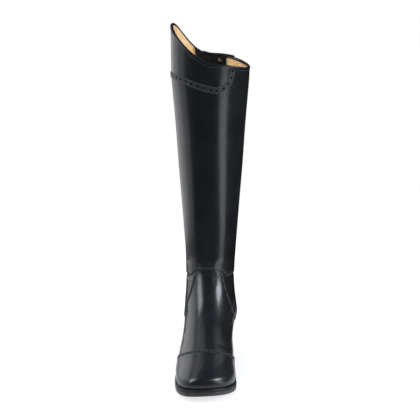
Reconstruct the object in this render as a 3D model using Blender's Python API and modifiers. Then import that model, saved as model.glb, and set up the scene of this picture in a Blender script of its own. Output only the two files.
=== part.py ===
"""Dress riding boot for the right foot, standing empty on its sole.

The toe points to -Y, the heel to +Y, the inner side of the leg to +X and the outer side to -X.
The origin is on the floor under the middle of the heel. Sizes below are millimetres; MM turns
them into Blender's metres. The upper is one surface, read at a height h up the back seam and an
angle round the leg: 0 is the middle of the front, 90 the outer side, 180 the back, 270 the inner.
"""
import math
from collections import namedtuple
from functools import lru_cache

import bmesh
import bpy
from mathutils import Vector

MM = 0.001
GAP = 0.35            # clearance between neighbouring pieces
WALL = 2.2            # thickness of the lined upper
SHAFT_STEP = 1.4      # how far the shaft stands proud of the foot where it overlaps it
COLLECTION = "dress_riding_boot"
CUTTERS = "cutters"
ZIP_METAL = (0.30, 0.30, 0.31)
LEATHER_BLACK = (0.012, 0.013, 0.016)
ELASTIC_BLACK = (0.016, 0.016, 0.018)
SOLE_BLACK = (0.014, 0.014, 0.015)
INSOLE_TAN = (0.45, 0.28, 0.13)

# The sole, a row for each section from the toe to the heel
SoleRow = namedtuple("SoleRow", "y lift outer inner outsole welt feather")
SOLE = [
    SoleRow(-250, 9.6, 42.5, 43.0, 6.0, 4.0, 4.0),
    SoleRow(-235, 5.8, 43.5, 44.0, 6.0, 4.0, 4.2),
    SoleRow(-215, 2.6, 45.0, 45.5, 6.0, 4.0, 4.6),
    SoleRow(-195, 0.6, 46.0, 46.6, 6.0, 4.0, 5.0),
    SoleRow(-175, 0.0, 46.4, 46.4, 6.0, 4.0, 5.0),
    SoleRow(-155, 0.0, 45.6, 46.2, 6.0, 4.0, 5.0),
    SoleRow(-130, 0.0, 42.6, 43.4, 6.0, 4.0, 4.8),
    SoleRow(-110, 1.2, 38.6, 38.6, 6.0, 4.0, 4.6),
    SoleRow(-90, 5.0, 34.6, 32.6, 5.6, 3.8, 4.4),
    SoleRow(-65, 12.6, 31.6, 28.2, 5.0, 3.5, 4.0),
    SoleRow(-42, 19.4, 31.6, 29.2, 4.6, 3.2, 3.6),
    SoleRow(-28, 22.0, 32.2, 30.6, 4.4, 3.0, 3.3),
    SoleRow(0, 22.0, 33.6, 32.6, 4.4, 3.0, 3.0),
    SoleRow(37, 22.0, 33.4, 32.6, 4.4, 3.0, 3.0),
]
SOLE_COLUMNS = {name: [getattr(row, name) for row in SOLE] for name in SoleRow._fields}
TOE_Y = SOLE[0].y
HEEL_Y = SOLE[-1].y
TOE_ROUND = (64.0, 2.35)     # length over which the toe closes, and its squareness
HEEL_ROUND = (36.0, 2.2)
TOE_SWING = 8.5              # how far the tip of the toe leans to the inner side
SWING_FROM_Y = -95.0
SWING_TO_Y = TOE_Y - 20.0
TOE_SLANT = 0.22             # how much the toe's end slants back towards the inner side
SLANT_FROM_Y = -165.0
SOLE_STATIONS = 56
WELT_UNDER = 2.6             # how far the welt and the insole reach under the upper
INSOLE_ABOVE_WELT = 1.2

# The side of the outsole, from its tread up: the inset, and the share of its thickness
EdgeRow = namedtuple("EdgeRow", "inset share")
OUTSOLE_EDGE = [
    EdgeRow(1.2, 0.0),
    EdgeRow(0.5, 0.12),
    EdgeRow(0.4, 0.52),
    EdgeRow(0.9, 0.56),
    EdgeRow(0.9, 0.62),
    EdgeRow(0.3, 0.66),
    EdgeRow(0.4, 1.0),
]

# The heel under it
HEEL_BREAST_Y = -29.0
BREAST_SLANT = 4.5           # how far the heel's front leans back down to the floor
HEEL_STATIONS = 26
HEEL_LIFTS = 3
HEEL_INSET = 0.8
HEEL_TAPER = 1.6
LIFT_GROOVE = 0.35
LIFT_GROOVE_DEPTH = 0.45
TOP_LIFT = 6.0
HeelRow = namedtuple("HeelRow", "z inset")

# The upper, a row for each ring from the sole to the collar: where it crosses the back seam and
# the front, its half-widths, the share of its length that its ends take to close and how square
# they are, how far it follows the sole's plan, and how far it swells past the feather line
Ring = namedtuple("Ring", "back_z back_y front_z front_y outer inner front_end back_end"
                          " front_square back_square plan swell")
RINGS = [
    Ring(30.3, 34.0, 20.4, -246.0, 40.0, 40.0, 0.23, 0.13, 2.35, 2.20, 1.00, 0.0),
    Ring(36.0, 36.0, 27.0, -248.0, 40.0, 40.0, 0.23, 0.13, 2.35, 2.20, 1.00, 2.0),
    Ring(43.0, 36.8, 35.5, -246.5, 39.0, 39.0, 0.26, 0.14, 2.30, 2.20, 0.92, 2.8),
    Ring(50.0, 36.4, 43.0, -239.0, 40.0, 42.0, 0.34, 0.16, 2.20, 2.20, 0.76, 2.2),
    Ring(57.5, 35.6, 49.0, -226.0, 41.4, 46.4, 0.46, 0.20, 2.10, 2.20, 0.54, 1.2),
    Ring(66.0, 34.6, 55.0, -205.0, 41.6, 47.2, 0.60, 0.24, 2.00, 2.20, 0.32, 0.0),
    Ring(76.0, 33.4, 64.0, -175.0, 40.6, 44.2, 0.68, 0.28, 1.95, 2.20, 0.15, 0.0),
    Ring(88.0, 32.2, 76.5, -143.0, 39.2, 41.0, 0.68, 0.32, 1.95, 2.15, 0.06, 0.0),
    Ring(100.0, 31.4, 92.0, -114.5, 38.0, 38.6, 0.63, 0.37, 2.00, 2.15, 0.00, 0.0),
    Ring(112.0, 30.8, 111.0, -91.5, 37.2, 37.2, 0.58, 0.42, 2.05, 2.10, 0.00, 0.0),
    Ring(124.0, 30.4, 130.0, -77.0, 36.8, 36.4, 0.54, 0.46, 2.10, 2.10, 0.00, 0.0),
    Ring(140.0, 30.6, 149.0, -68.0, 37.4, 37.0, 0.51, 0.49, 2.10, 2.05, 0.00, 0.0),
    Ring(162.0, 31.8, 168.0, -63.5, 38.0, 38.2, 0.50, 0.50, 2.10, 2.05, 0.00, 0.0),
    Ring(200.0, 35.6, 201.0, -64.5, 40.4, 40.6, 0.50, 0.50, 2.10, 2.05, 0.00, 0.0),
    Ring(250.0, 41.4, 250.0, -67.5, 44.2, 44.2, 0.50, 0.50, 2.08, 2.05, 0.00, 0.0),
    Ring(310.0, 47.8, 310.0, -70.5, 49.2, 48.8, 0.50, 0.50, 2.06, 2.06, 0.00, 0.0),
    Ring(370.0, 50.0, 370.0, -72.0, 53.4, 52.6, 0.50, 0.50, 2.06, 2.08, 0.00, 0.0),
    Ring(420.0, 48.4, 420.0, -72.4, 57.6, 56.6, 0.50, 0.50, 2.08, 2.10, 0.00, 0.0),
    Ring(450.0, 46.6, 450.0, -72.0, 59.8, 58.8, 0.50, 0.50, 2.10, 2.12, 0.00, 0.0),
    Ring(485.0, 45.6, 485.0, -71.4, 60.2, 59.8, 0.50, 0.50, 2.10, 2.12, 0.00, 0.0),
    Ring(535.0, 45.0, 535.0, -71.0, 60.4, 60.0, 0.50, 0.50, 2.10, 2.12, 0.00, 0.0),
]
RING_COLUMNS = {name: [getattr(row, name) for row in RINGS] for name in Ring._fields}
FEATHER_H = RINGS[0].back_z

# The collar: low on the inner side, with a tall wing on the outer side
COLLAR_LOW = 462.0
COLLAR_FRONT_BACK_RISE = 11.0
WING_RISE = 65.0
WING_PEAK_DEG = 97.0
WING_FRONT = (105.0, 1.6)    # degrees from its peak to its foot, and how hollow its edge runs
WING_BACK = (85.0, 2.05)
LEVEL_H = 405.0              # below this the shaft's rings are level

# The shaft's lower edge, over the vamp's tongue in front, the ankle at the sides and the counter
EDGE_FRONT_H = 140.0
EDGE_SIDE_H = 130.0
EDGE_BACK_H = 84.0
TONGUE_DEG = (24.0, 52.0)    # the tongue's flat top ends and the ankle line begins
COUNTER_DEG = (105.0, 160.0)

# The back opening with its zip, elastic gores and guard; each Layer lies between two heights
# above the upper's outer face
Layer = namedtuple("Layer", "low high")
SLOT_FOOT_LEVEL = 1.025
SLOT_COLUMNS = 4
UPPER_ANGLES = 44
FOOT_LEVELS = (0.0, 0.07, 0.16, 0.26, 0.37, 0.49, 0.61, 0.73, 0.84, 0.93, 0.985)
SHAFT_LEVELS = (1.005, SLOT_FOOT_LEVEL, 1.07, 1.14, 1.23, 1.35, 1.49, 1.63, 1.76, 1.88, 2.0)
COLLAR_LEVELS = (2.2, 2.4, 2.6, 2.8, 3.0)
LEVELS = FOOT_LEVELS + SHAFT_LEVELS + COLLAR_LEVELS
SLOT_FOOT_H = EDGE_BACK_H + (SLOT_FOOT_LEVEL - 1) * (LEVEL_H - EDGE_BACK_H)
SLOT_HALF = 6.6
SLOT_TOP_HALF = 19.0
SLOT_WIDENS_H = 205.0
TAPE = Layer(-1.9, -0.9)
TAPE_HALF = 5.7
TAPE_FOOT_H = SLOT_FOOT_H + 1.2
GORE = Layer(-1.7, -0.5)
GORE_FOOT_H = 250.0
GUARD = Layer(-WALL - GAP - 1.1, -WALL - GAP - 0.1)
GUARD_LAP = 4.0              # how far the guard reaches behind the shaft on either side
GUARD_WING = 8.0             # and how much further on the outer side near the collar
GUARD_WING_FROM_H = 400.0
GUARD_FOOT_H = 86.0
COIL = Layer(TAPE.high + GAP, 1.1)
COIL_HALF = 2.4
COIL_CREST_HALF = 1.5
COIL_SIDE = 0.2
COIL_ABOVE_TAPE = 2.0
COIL_TOP_H = 440.5
BELOW_COLLAR = 1.6
GUARD_BELOW_COLLAR = 5.0

# The zip's slider and its pull
SLIDER_SIZE = Vector((9.0, 3.0, 12.0))
SLIDER_FOOT_Z = 441.2
CROWN_SIZE = Vector((3.4, 4.8, 5.6))
PIVOT_OUT = 1.9              # the pull's axis above the slider's face
PIVOT_Z = 448.6
PIVOT_HOLE_R = 1.5
PULL_HALF = 3.7
PULL_EYE_HALF = 2.15
PULL_EYE = (-6.6, -0.9)
PULL_TOP = 0.9
PULL_FOOT = -26.0
PULL_FOOT_ROUND = 3.0
PULL_WAIST_HALF = 3.15
PULL_WAIST_BELOW_EYE = 1.0
PULL_SHOULDER_BELOW_EYE = 4.0
PULL_THICK = 1.4

# The snap tab over the top of the zip
TAB = Layer(3.1, 4.9)
TAB_X = (-15.5, 32.5)
TAB_FOOT_H = 457.0
TAB_ABOVE_COLLAR = 2.4
SNAP_X = 12.0
SNAP_H = 465.0
SNAP_CAP_R = 6.0
SNAP_CAP_HIGH = 2.4
RIVET_R = 4.5
RIVET_HIGH = 1.5
DOME_SIDES = 14

# Overlays on the upper
OVERLAY = Layer(1.05, 1.85)      # a little higher, for the facets of the foot's hollows
CAP_CREST_Y = -190.0
CAP_SWEEP = 54.0             # how much further back the cap's edge lies at the sole
CAP_DEG = 78.0
CAP_FOOT = 0.8               # above the upper's lower edge
QUARTER_H = [FEATHER_H, 50.0, 70.0, 84.0, 100.0, 133.0]
QUARTER_FRONT_Y = [-24.0, -34.0, -48.0, -60.0, -68.0, -69.0]
CollarBand = namedtuple("CollarBand", "outer_deg z")
COLLAR_BAND = [
    CollarBand(-35.5, 464.0),
    CollarBand(-34.7, 458.0),
    CollarBand(-32.0, 449.0),
    CollarBand(-27.0, 441.5),
    CollarBand(-20.0, 435.5),
    CollarBand(-11.0, 433.2),
    CollarBand(3.0, 436.5),
    CollarBand(20.0, 441.5),
    CollarBand(48.0, 449.5),
    CollarBand(84.0, 450.5),
    CollarBand(122.0, 449.5),
    CollarBand(160.5, 449.5),
]
BAND_HALF = 3.75
BAND = Layer(SHAFT_STEP + GAP, SHAFT_STEP + GAP + 0.9)
MM_PER_DEG = 1.05            # along the shaft near its top

# The bound edge of the collar
BIND_DOWN = 3.0
BIND_THICK = 0.8
BIND_RISE = 1.3
BindPoint = namedtuple("BindPoint", "off rise")


def smooth(knots, values, x):
    """Monotone cubic through a table's column, flat past its ends."""
    last = len(knots) - 1
    if x <= knots[0]:
        return values[0]
    if x >= knots[last]:
        return values[last]
    slopes = [(values[i + 1] - values[i]) / (knots[i + 1] - knots[i]) for i in range(last)]
    i = max(k for k in range(last) if knots[k] <= x)

    def tangent(k):
        if k == 0:
            return slopes[0]
        if k == last:
            return slopes[last - 1]
        before, after = slopes[k - 1], slopes[k]
        if before * after <= 0:
            return 0.0
        return 2.0 * before * after / (before + after)

    span = knots[i + 1] - knots[i]
    t = (x - knots[i]) / span
    start = (1 + 2 * t) * (1 - t) ** 2 * values[i] + t * (1 - t) ** 2 * span * tangent(i)
    end = t * t * (3 - 2 * t) * values[i + 1] + t * t * (t - 1) * span * tangent(i + 1)
    return start + end


def ease(start, end, x):
    """0 before start, 1 after end and a smooth step between."""
    t = min(max((x - start) / (end - start), 0.0), 1.0)
    return t * t * (3 - 2 * t)


def closing(t, square):
    """Half-width share near an end: 0 at the tip, 1 where the end has opened out."""
    t = min(max(t, 0.0), 1.0)
    return (1 - (1 - t) ** square) ** (1 / square)


@lru_cache(maxsize=None)
def sole(column, y):
    return smooth(SOLE_COLUMNS["y"], SOLE_COLUMNS[column], y)


def foot_bend(x, y):
    """The foot's curve: the toe leans to the inner side, and its end slants back there."""
    bent_x = x + TOE_SWING * ease(SWING_FROM_Y, SWING_TO_Y, y)
    bent_y = y + TOE_SLANT * x * ease(SLANT_FROM_Y, TOE_Y, y)
    return bent_x, bent_y


@lru_cache(maxsize=None)
def ring(column, h):
    return smooth(RING_COLUMNS["back_z"], RING_COLUMNS[column], h)


def welt_top(y):
    return sole("lift", y) + sole("outsole", y) + GAP + sole("welt", y)


def feather_z(y):
    return welt_top(y) + GAP


def from_front(angle):
    """Angle away from the middle of the front, 0 to 180, whichever side."""
    angle = angle % 360
    return min(angle, 360 - angle)


def is_outer(angle):
    return angle % 360 <= 180


def upper_base(h, angle):
    """Point of the upper's outer face, in millimetres."""
    front_y, back_y = ring("front_y", h), ring("back_y", h)
    length = back_y - front_y
    away = math.radians(from_front(angle))
    y = (front_y + back_y) / 2 - length / 2 * math.cos(away)
    side = "outer" if is_outer(angle) else "inner"
    plan = ring("plan", h)
    width = (1 - plan) * ring(side, h)
    width += plan * (sole(side, y) - sole("feather", y) + ring("swell", h))
    width *= closing((y - front_y) / (length * ring("front_end", h)), ring("front_square", h))
    width *= closing((back_y - y) / (length * ring("back_end", h)), ring("back_square", h))
    level = ring("front_z", h) + (h - ring("front_z", h)) * (y - front_y) / length
    z = (1 - plan) * level + plan * (feather_z(y) + h - FEATHER_H)
    x, y = foot_bend(-width if is_outer(angle) else width, y)
    return Vector((x, y, z))


def upper_normal(h, angle):
    step_h, step_angle = 0.6, 0.6
    up = upper_base(h + step_h, angle) - upper_base(max(h - step_h, FEATHER_H), angle)
    along = upper_base(h, angle + step_angle) - upper_base(h, angle - step_angle)
    return up.cross(along).normalized()


def upper_point(h, angle, off=0.0):
    """Point that stands off the upper's outer face, in metres."""
    return (upper_base(h, angle) + off * upper_normal(h, angle)) * MM


def collar_h(angle):
    away = angle % 360 - WING_PEAK_DEG
    if away > 180:
        away -= 360
    span, hollow = WING_BACK if away > 0 else WING_FRONT
    lean = min(abs(away) / span, 1.0)
    wing = WING_RISE * math.cos(math.pi / 2 * lean) ** hollow
    return COLLAR_LOW + COLLAR_FRONT_BACK_RISE * math.cos(math.radians(angle)) ** 2 + wing


def shaft_edge_h(angle):
    away = from_front(angle)
    tongue = 1 - ease(*TONGUE_DEG, away)
    counter = ease(*COUNTER_DEG, away)
    return EDGE_SIDE_H + tongue * (EDGE_FRONT_H - EDGE_SIDE_H) - counter * (EDGE_SIDE_H - EDGE_BACK_H)


def height(level, angle):
    """0 at the sole, 1 at the shaft's lower edge, 2 where the shaft is level, 3 at the collar."""
    marks = [FEATHER_H, shaft_edge_h(angle), LEVEL_H, collar_h(angle)]
    step = min(int(level), 2)
    return marks[step] + (level - step) * (marks[step + 1] - marks[step])


def slot_half(h):
    """Half-width of the opening at the back."""
    share = min(max((h - SLOT_WIDENS_H) / (collar_h(180) - SLOT_WIDENS_H), 0.0), 1.0)
    return SLOT_HALF + share * (SLOT_TOP_HALF - SLOT_HALF)


@lru_cache(maxsize=None)
def angle_at(h, x):
    """Angle on the back half whose point lies x to the inner side of the back seam."""
    near, far = 180.0, (270.0 if x >= 0 else 90.0)
    for _ in range(30):
        middle = (near + far) / 2
        if abs(upper_base(h, middle).x) < abs(x):
            near = middle
        else:
            far = middle
    return (near + far) / 2


def angle_at_y(h, y, outer):
    front_y, back_y = ring("front_y", h), ring("back_y", h)
    share = ((front_y + back_y) / 2 - y) / ((back_y - front_y) / 2)
    away = math.degrees(math.acos(min(max(share, -1.0), 1.0)))
    return away if outer else 360 - away


def spread(start, end, count):
    return [start + (end - start) * i / (count - 1) for i in range(count)]


def material(name, colour, roughness, metallic=0.0):
    finish = bpy.data.materials.new(name)
    finish.use_nodes = True
    shader = finish.node_tree.nodes["Principled BSDF"]
    shader.inputs["Base Color"].default_value = (*colour, 1.0)
    shader.inputs["Roughness"].default_value = roughness
    shader.inputs["Metallic"].default_value = metallic
    return finish


def collection(name):
    group = bpy.data.collections.new(name)
    bpy.context.scene.collection.children.link(group)
    return group


def add_object(name, mesh, finish, group=COLLECTION):
    piece = bpy.data.objects.new(name, mesh)
    bpy.data.collections[group].objects.link(piece)
    mesh.materials.clear()
    mesh.materials.append(finish)
    return piece


def mesh_from(name, bm, sharp_deg=40.0):
    bmesh.ops.recalc_face_normals(bm, faces=bm.faces)
    mesh = bpy.data.meshes.new(name)
    bm.to_mesh(mesh)
    bm.free()
    mesh.shade_smooth()
    mesh.set_sharp_from_angle(angle=math.radians(sharp_deg))
    return mesh


def two_skins(name, finish, outer, inner, wrap=False, is_open=None):
    """Closed solid between two grids of points, with the cells that is_open names left out."""
    bm = bmesh.new()
    rows, columns = len(outer), len(outer[0])
    made = {}

    def vertex(skin, i, j):
        key = (skin, i, j % columns)
        if key not in made:
            grid = inner if skin else outer
            made[key] = bm.verts.new(grid[i][j % columns])
        return made[key]

    borders = {}
    for i in range(rows - 1):
        for j in range(columns if wrap else columns - 1):
            if is_open and is_open(i, j):
                continue
            corners = [(i, j), (i, (j + 1) % columns), (i + 1, (j + 1) % columns), (i + 1, j)]
            bm.faces.new([vertex(0, *c) for c in corners])
            bm.faces.new([vertex(1, *c) for c in reversed(corners)])
            for a, b in zip(corners, corners[1:] + corners[:1]):
                if (b, a) in borders:
                    del borders[(b, a)]
                else:
                    borders[(a, b)] = True
    for a, b in borders:
        bm.faces.new([vertex(0, *b), vertex(0, *a), vertex(1, *a), vertex(1, *b)])
    return add_object(name, mesh_from(name, bm), finish)


def stacked_rings(name, finish, rings, breast=False):
    """Closed solid through rings of points that mirror each other across the middle."""
    bm = bmesh.new()
    grid = [[bm.verts.new(point) for point in ring_points] for ring_points in rings]
    count = len(grid[0])
    for low, high in zip(grid, grid[1:]):
        for j in range(count):
            k = (j + 1) % count
            bm.faces.new([low[j], low[k], high[k], high[j]])
    for cap in (grid[0], grid[-1]):
        first = 0 if breast else 1
        for j in range(first, count // 2 - (1 if breast else 0)):
            a, b = j, j + 1
            mirror = (count - 1 - a, count - 1 - b) if breast else (count - a, count - b)
            corners = [cap[a], cap[b], cap[mirror[1]], cap[mirror[0]]]
            bm.faces.new([v for n, v in enumerate(corners) if v not in corners[:n]])
        if not breast:
            bm.faces.new([cap[0], cap[1], cap[count - 1]])
    return add_object(name, mesh_from(name, bm), finish)


def column_angle(j, h):
    """Angle of a column of the upper; the middle columns keep to the back opening's edges."""
    half = UPPER_ANGLES // 2
    slot = SLOT_COLUMNS // 2
    edge_h = max(h, SLOT_FOOT_H)
    from_back = j - half
    if abs(from_back) <= slot:
        if from_back == 0:
            return 180.0
        return 180.0 + from_back / slot * abs(angle_at(edge_h, slot_half(edge_h)) - 180.0)
    edge = abs(angle_at(edge_h, slot_half(edge_h)) - 180.0)
    share = (half - abs(from_back)) / (half - slot)
    away = share * (180.0 - edge)
    return away if from_back < 0 else 360.0 - away


def upper_grid(off):
    grid = []
    for level in LEVELS:
        row = []
        for j in range(UPPER_ANGLES):
            guess = column_angle(j, height(level, 180))
            h = height(level, guess)
            angle = column_angle(j, h)
            step = SHAFT_STEP if off == 0.0 and level > 1.0 else 0.0
            row.append(upper_point(height(level, angle), angle, off + step))
        grid.append(row)
    return grid


def build_upper():
    first = LEVELS.index(SLOT_FOOT_LEVEL)
    slot_left = UPPER_ANGLES // 2 - SLOT_COLUMNS // 2
    slot_right = UPPER_ANGLES // 2 + SLOT_COLUMNS // 2
    finish = material("upper_leather", LEATHER_BLACK, 0.25)
    return two_skins("upper", finish, upper_grid(0.0), upper_grid(-WALL), wrap=True,
                     is_open=lambda i, j: i >= first and slot_left <= j < slot_right)


def outsole_top(y):
    return sole("lift", y) + sole("outsole", y)


def welt_low(y):
    return outsole_top(y) + GAP


def sole_outline(inset, z_of_y, stations=SOLE_STATIONS):
    """Ring round the sole's plan, in metres; z_of_y gives its height at each section."""
    front, back = TOE_Y + inset, HEEL_Y - inset
    points = []
    for j in range(stations):
        angle = 360.0 * j / stations
        y = (front + back) / 2 - (back - front) / 2 * math.cos(math.radians(angle))
        side = "outer" if is_outer(angle) else "inner"
        width = sole(side, y) - inset
        width *= closing((y - front) / TOE_ROUND[0], TOE_ROUND[1])
        width *= closing((back - y) / HEEL_ROUND[0], HEEL_ROUND[1])
        x, bent_y = foot_bend(-width if is_outer(angle) else width, y)
        points.append(Vector((x, bent_y, z_of_y(y))) * MM)
    return points


def build_outsole():
    finish = material("outsole_rubber", SOLE_BLACK, 0.35)
    rings = [
        sole_outline(row.inset, lambda y, row=row: sole("lift", y) + row.share * sole("outsole", y))
        for row in OUTSOLE_EDGE
    ]
    return stacked_rings("outsole", finish, rings)


def build_welt():
    """A flat strip under the upper's edge, all the way round."""
    finish = material("welt_leather", SOLE_BLACK, 0.4)
    low_round, high_round = 0.3, 0.5
    rings = [feather_outline(WELT_UNDER, welt_low),
             sole_outline(low_round, welt_low),
             sole_outline(0.0, lambda y: welt_low(y) + low_round),
             sole_outline(0.0, lambda y: welt_top(y) - high_round),
             sole_outline(high_round, welt_top),
             feather_outline(WELT_UNDER, welt_top)]
    bm = bmesh.new()
    grid = [[bm.verts.new(p) for p in points] for points in rings]
    count = len(grid[0])
    for a, b in zip(grid, grid[1:] + grid[:1]):
        for j in range(count):
            k = (j + 1) % count
            bm.faces.new([a[j], a[k], b[k], b[j]])
    return add_object("welt", mesh_from("welt", bm), finish)


def feather_outline(inset, z_of_y, stations=SOLE_STATIONS):
    """Ring inside the upper's lower edge, in metres."""
    points = []
    front, back = RINGS[0].front_y + inset, RINGS[0].back_y - inset
    for j in range(stations):
        angle = 360.0 * j / stations
        y = (front + back) / 2 - (back - front) / 2 * math.cos(math.radians(angle))
        side = "outer" if is_outer(angle) else "inner"
        length = RINGS[0].back_y - RINGS[0].front_y
        width = sole(side, y) - sole("feather", y) - inset
        width *= closing((y - front) / (length * RINGS[0].front_end), RINGS[0].front_square)
        width *= closing((back - y) / (length * RINGS[0].back_end), RINGS[0].back_square)
        x, bent_y = foot_bend(-width if is_outer(angle) else width, y)
        points.append(Vector((x, bent_y, z_of_y(y))) * MM)
    return points


def build_insole():
    finish = material("insole_leather", INSOLE_TAN, 0.6)
    inset = WELT_UNDER + GAP
    bevel = 0.6
    rings = [feather_outline(inset, welt_low),
             feather_outline(inset, lambda y: welt_top(y) + INSOLE_ABOVE_WELT - bevel),
             feather_outline(inset + bevel, lambda y: welt_top(y) + INSOLE_ABOVE_WELT)]
    return stacked_rings("insole", finish, rings)


def heel_outline(inset, z):
    """Ring round the heel at one height, flat across its front."""
    front = HEEL_BREAST_Y + BREAST_SLANT * (1 - z / SOLE[-1].lift)
    back = HEEL_Y - inset
    points = []
    half = HEEL_STATIONS // 2
    for j in range(HEEL_STATIONS):
        outer = j < half
        k = j if outer else HEEL_STATIONS - 1 - j
        share = math.sin(math.pi / 2 * k / (half - 0.5))
        y = front + (back - front) * share
        side = "outer" if outer else "inner"
        width = (sole(side, y) - inset) * closing((back - y) / HEEL_ROUND[0], HEEL_ROUND[1])
        points.append(Vector((-width if outer else width, y, z)) * MM)
    return points


def heel_inset(z):
    return HEEL_INSET + HEEL_TAPER * (1 - z / SOLE[-1].lift)


def heel_rows(low, high, layers):
    """Side of a stack of lifts, with a fine groove between each two."""
    thick = (high - low) / layers
    rows = [HeelRow(low, heel_inset(low))]
    for n in range(1, layers):
        seam = low + n * thick
        rows.append(HeelRow(seam - 2 * LIFT_GROOVE, heel_inset(seam)))
        rows.append(HeelRow(seam - LIFT_GROOVE, heel_inset(seam) + LIFT_GROOVE_DEPTH))
        rows.append(HeelRow(seam + LIFT_GROOVE, heel_inset(seam) + LIFT_GROOVE_DEPTH))
        rows.append(HeelRow(seam + 2 * LIFT_GROOVE, heel_inset(seam)))
    rows.append(HeelRow(high, heel_inset(high)))
    return rows


def build_heel():
    stack = heel_rows(TOP_LIFT + GAP, SOLE[-1].lift - GAP, HEEL_LIFTS)
    top_lift = heel_rows(0.0, TOP_LIFT, 1)
    for name, rows, roughness in (("heel_stack", stack, 0.3), ("heel_top_lift", top_lift, 0.5)):
        finish = material(name + "_finish", SOLE_BLACK, roughness)
        rings = [heel_outline(row.inset, row.z) for row in rows]
        stacked_rings(name, finish, rings, breast=True)


def patch(name, finish, cells, layer):
    """Solid over a grid of (height, angle) cells, between two heights above the upper."""
    outer = [[upper_point(h, angle, layer.high) for h, angle in row] for row in cells]
    inner = [[upper_point(h, angle, layer.low) for h, angle in row] for row in cells]
    return two_skins(name, finish, outer, inner)


def cap_edge_h(angle):
    """Height at which the toe cap's edge crosses a line up the toe."""
    edge_y = CAP_CREST_Y + CAP_SWEEP * (from_front(angle) / CAP_DEG) ** 3
    low, high = FEATHER_H, EDGE_BACK_H
    for _ in range(24):
        middle = (low + high) / 2
        if upper_base(middle, angle).y < edge_y:
            low = middle
        else:
            high = middle
    return low


def build_toe_cap():
    foot = FEATHER_H + CAP_FOOT
    edges = [(angle % 360, cap_edge_h(angle)) for angle in spread(-CAP_DEG, CAP_DEG, 29)]
    cells = [[(foot + (edge_h - foot) * share, angle) for angle, edge_h in edges]
             for share in spread(0.0, 1.0, 9)]
    patch("toe_cap", material("toe_cap_leather", LEATHER_BLACK, 0.22), cells, OVERLAY)


def build_quarter():
    """The piece round the heel, from one side of the vamp to the other, under the shaft's edge."""
    cells = []
    for level in (0.02, 0.08, 0.17, 0.28, 0.4, 0.52, 0.64, 0.76, 0.87, 0.96):
        side_h = height(level, 80)
        front_y = smooth(QUARTER_H, QUARTER_FRONT_Y, side_h)
        start, end = angle_at_y(side_h, front_y, True), angle_at_y(side_h, front_y, False)
        cells.append([(height(level, angle), angle) for angle in spread(start, end, 25)])
    patch("quarter", material("quarter_leather", LEATHER_BLACK, 0.25), cells, OVERLAY)


def band_cells(count, across):
    """Cells along the collar band's middle line, with as many rows across as asked."""
    knots = list(range(len(COLLAR_BAND)))
    outer_deg = [row.outer_deg for row in COLLAR_BAND]
    level_z = [row.z for row in COLLAR_BAND]
    rows = [[] for _ in across]
    step = 0.02
    for t in spread(0.0, knots[-1], count):
        deg, z = smooth(knots, outer_deg, t), smooth(knots, level_z, t)
        ahead, behind = min(t + step, knots[-1]), max(t - step, 0.0)
        along = (smooth(knots, outer_deg, ahead) - smooth(knots, outer_deg, behind)) * MM_PER_DEG
        up = smooth(knots, level_z, ahead) - smooth(knots, level_z, behind)
        size = math.hypot(along, up)
        for row, aside in zip(rows, across):
            row.append((z + aside * along / size, (deg - aside * up / size / MM_PER_DEG) % 360))
    return rows


def build_collar_band():
    cells = band_cells(46, (-BAND_HALF, BAND_HALF))
    patch("collar_band", material("collar_band_leather", LEATHER_BLACK, 0.25), cells, BAND)


def swept(name, finish, sections):
    """Closed solid through open-ended sections, each a loop of points."""
    bm = bmesh.new()
    grid = [[bm.verts.new(point) for point in section] for section in sections]
    count = len(grid[0])
    for a, b in zip(grid, grid[1:]):
        for j in range(count):
            k = (j + 1) % count
            bm.faces.new([a[j], a[k], b[k], b[j]])
    bm.faces.new(reversed(grid[0]))
    bm.faces.new(grid[-1])
    return add_object(name, mesh_from(name, bm), finish)


def build_binding():
    """Leather folded over the collar's edge, from one side of the back opening to the other."""
    outside, inside = SHAFT_STEP + GAP, -WALL - GAP
    profile = [
        BindPoint(outside, -BIND_DOWN),
        BindPoint(outside + BIND_THICK, -BIND_DOWN),
        BindPoint(outside + BIND_THICK, BIND_RISE * 0.4),
        BindPoint(outside + BIND_THICK * 0.3, BIND_RISE),
        BindPoint(inside - BIND_THICK * 0.3, BIND_RISE),
        BindPoint(inside - BIND_THICK, BIND_RISE * 0.4),
        BindPoint(inside - BIND_THICK, -BIND_DOWN),
        BindPoint(inside, -BIND_DOWN),
        BindPoint(inside, GAP),
        BindPoint(outside, GAP),
    ]
    edge_h = collar_h(180)
    start, end = angle_at(edge_h, -SLOT_TOP_HALF - 0.3), angle_at(edge_h, SLOT_TOP_HALF + 0.3)
    sections = []
    for angle in spread(start, end - 360.0, 61):
        top = collar_h(angle)
        sections.append([upper_point(top + point.rise, angle, point.off) for point in profile])
    swept("collar_binding", material("binding_leather", LEATHER_BLACK, 0.3), sections)


def back_heights(foot_h, top_h):
    """Heights of the upper's own rows at the back, between two others."""
    inside = [height(level, 180) for level in LEVELS]
    return [foot_h] + [h for h in inside if foot_h + 2.0 < h < top_h - 2.0] + [top_h]


def back_cells(foot_h, top_h, x_at):
    """Cells near the back seam; x_at gives their distances from it at each height."""
    return [[(h, angle_at(h, x)) for x in x_at(h)] for h in back_heights(foot_h, top_h)]


def guard_row(h):
    """Cells across the guard at one height; near the collar it reaches further on the outer side."""
    half = slot_half(h) + GUARD_LAP
    wing = GUARD_WING * ease(GUARD_WING_FROM_H, collar_h(180), h)
    return [(h, angle_at(h, x)) for x in spread(-half - wing, half, 9)]


def build_guard():
    top_h = collar_h(180) - GUARD_BELOW_COLLAR
    rows = [guard_row(h) for h in back_heights(GUARD_FOOT_H, top_h)]
    rows[-1] = [(collar_h(angle) - GUARD_BELOW_COLLAR, angle) for _, angle in rows[-1]]
    patch("zip_guard", material("zip_guard", ELASTIC_BLACK, 0.7), rows, GUARD)


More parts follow.
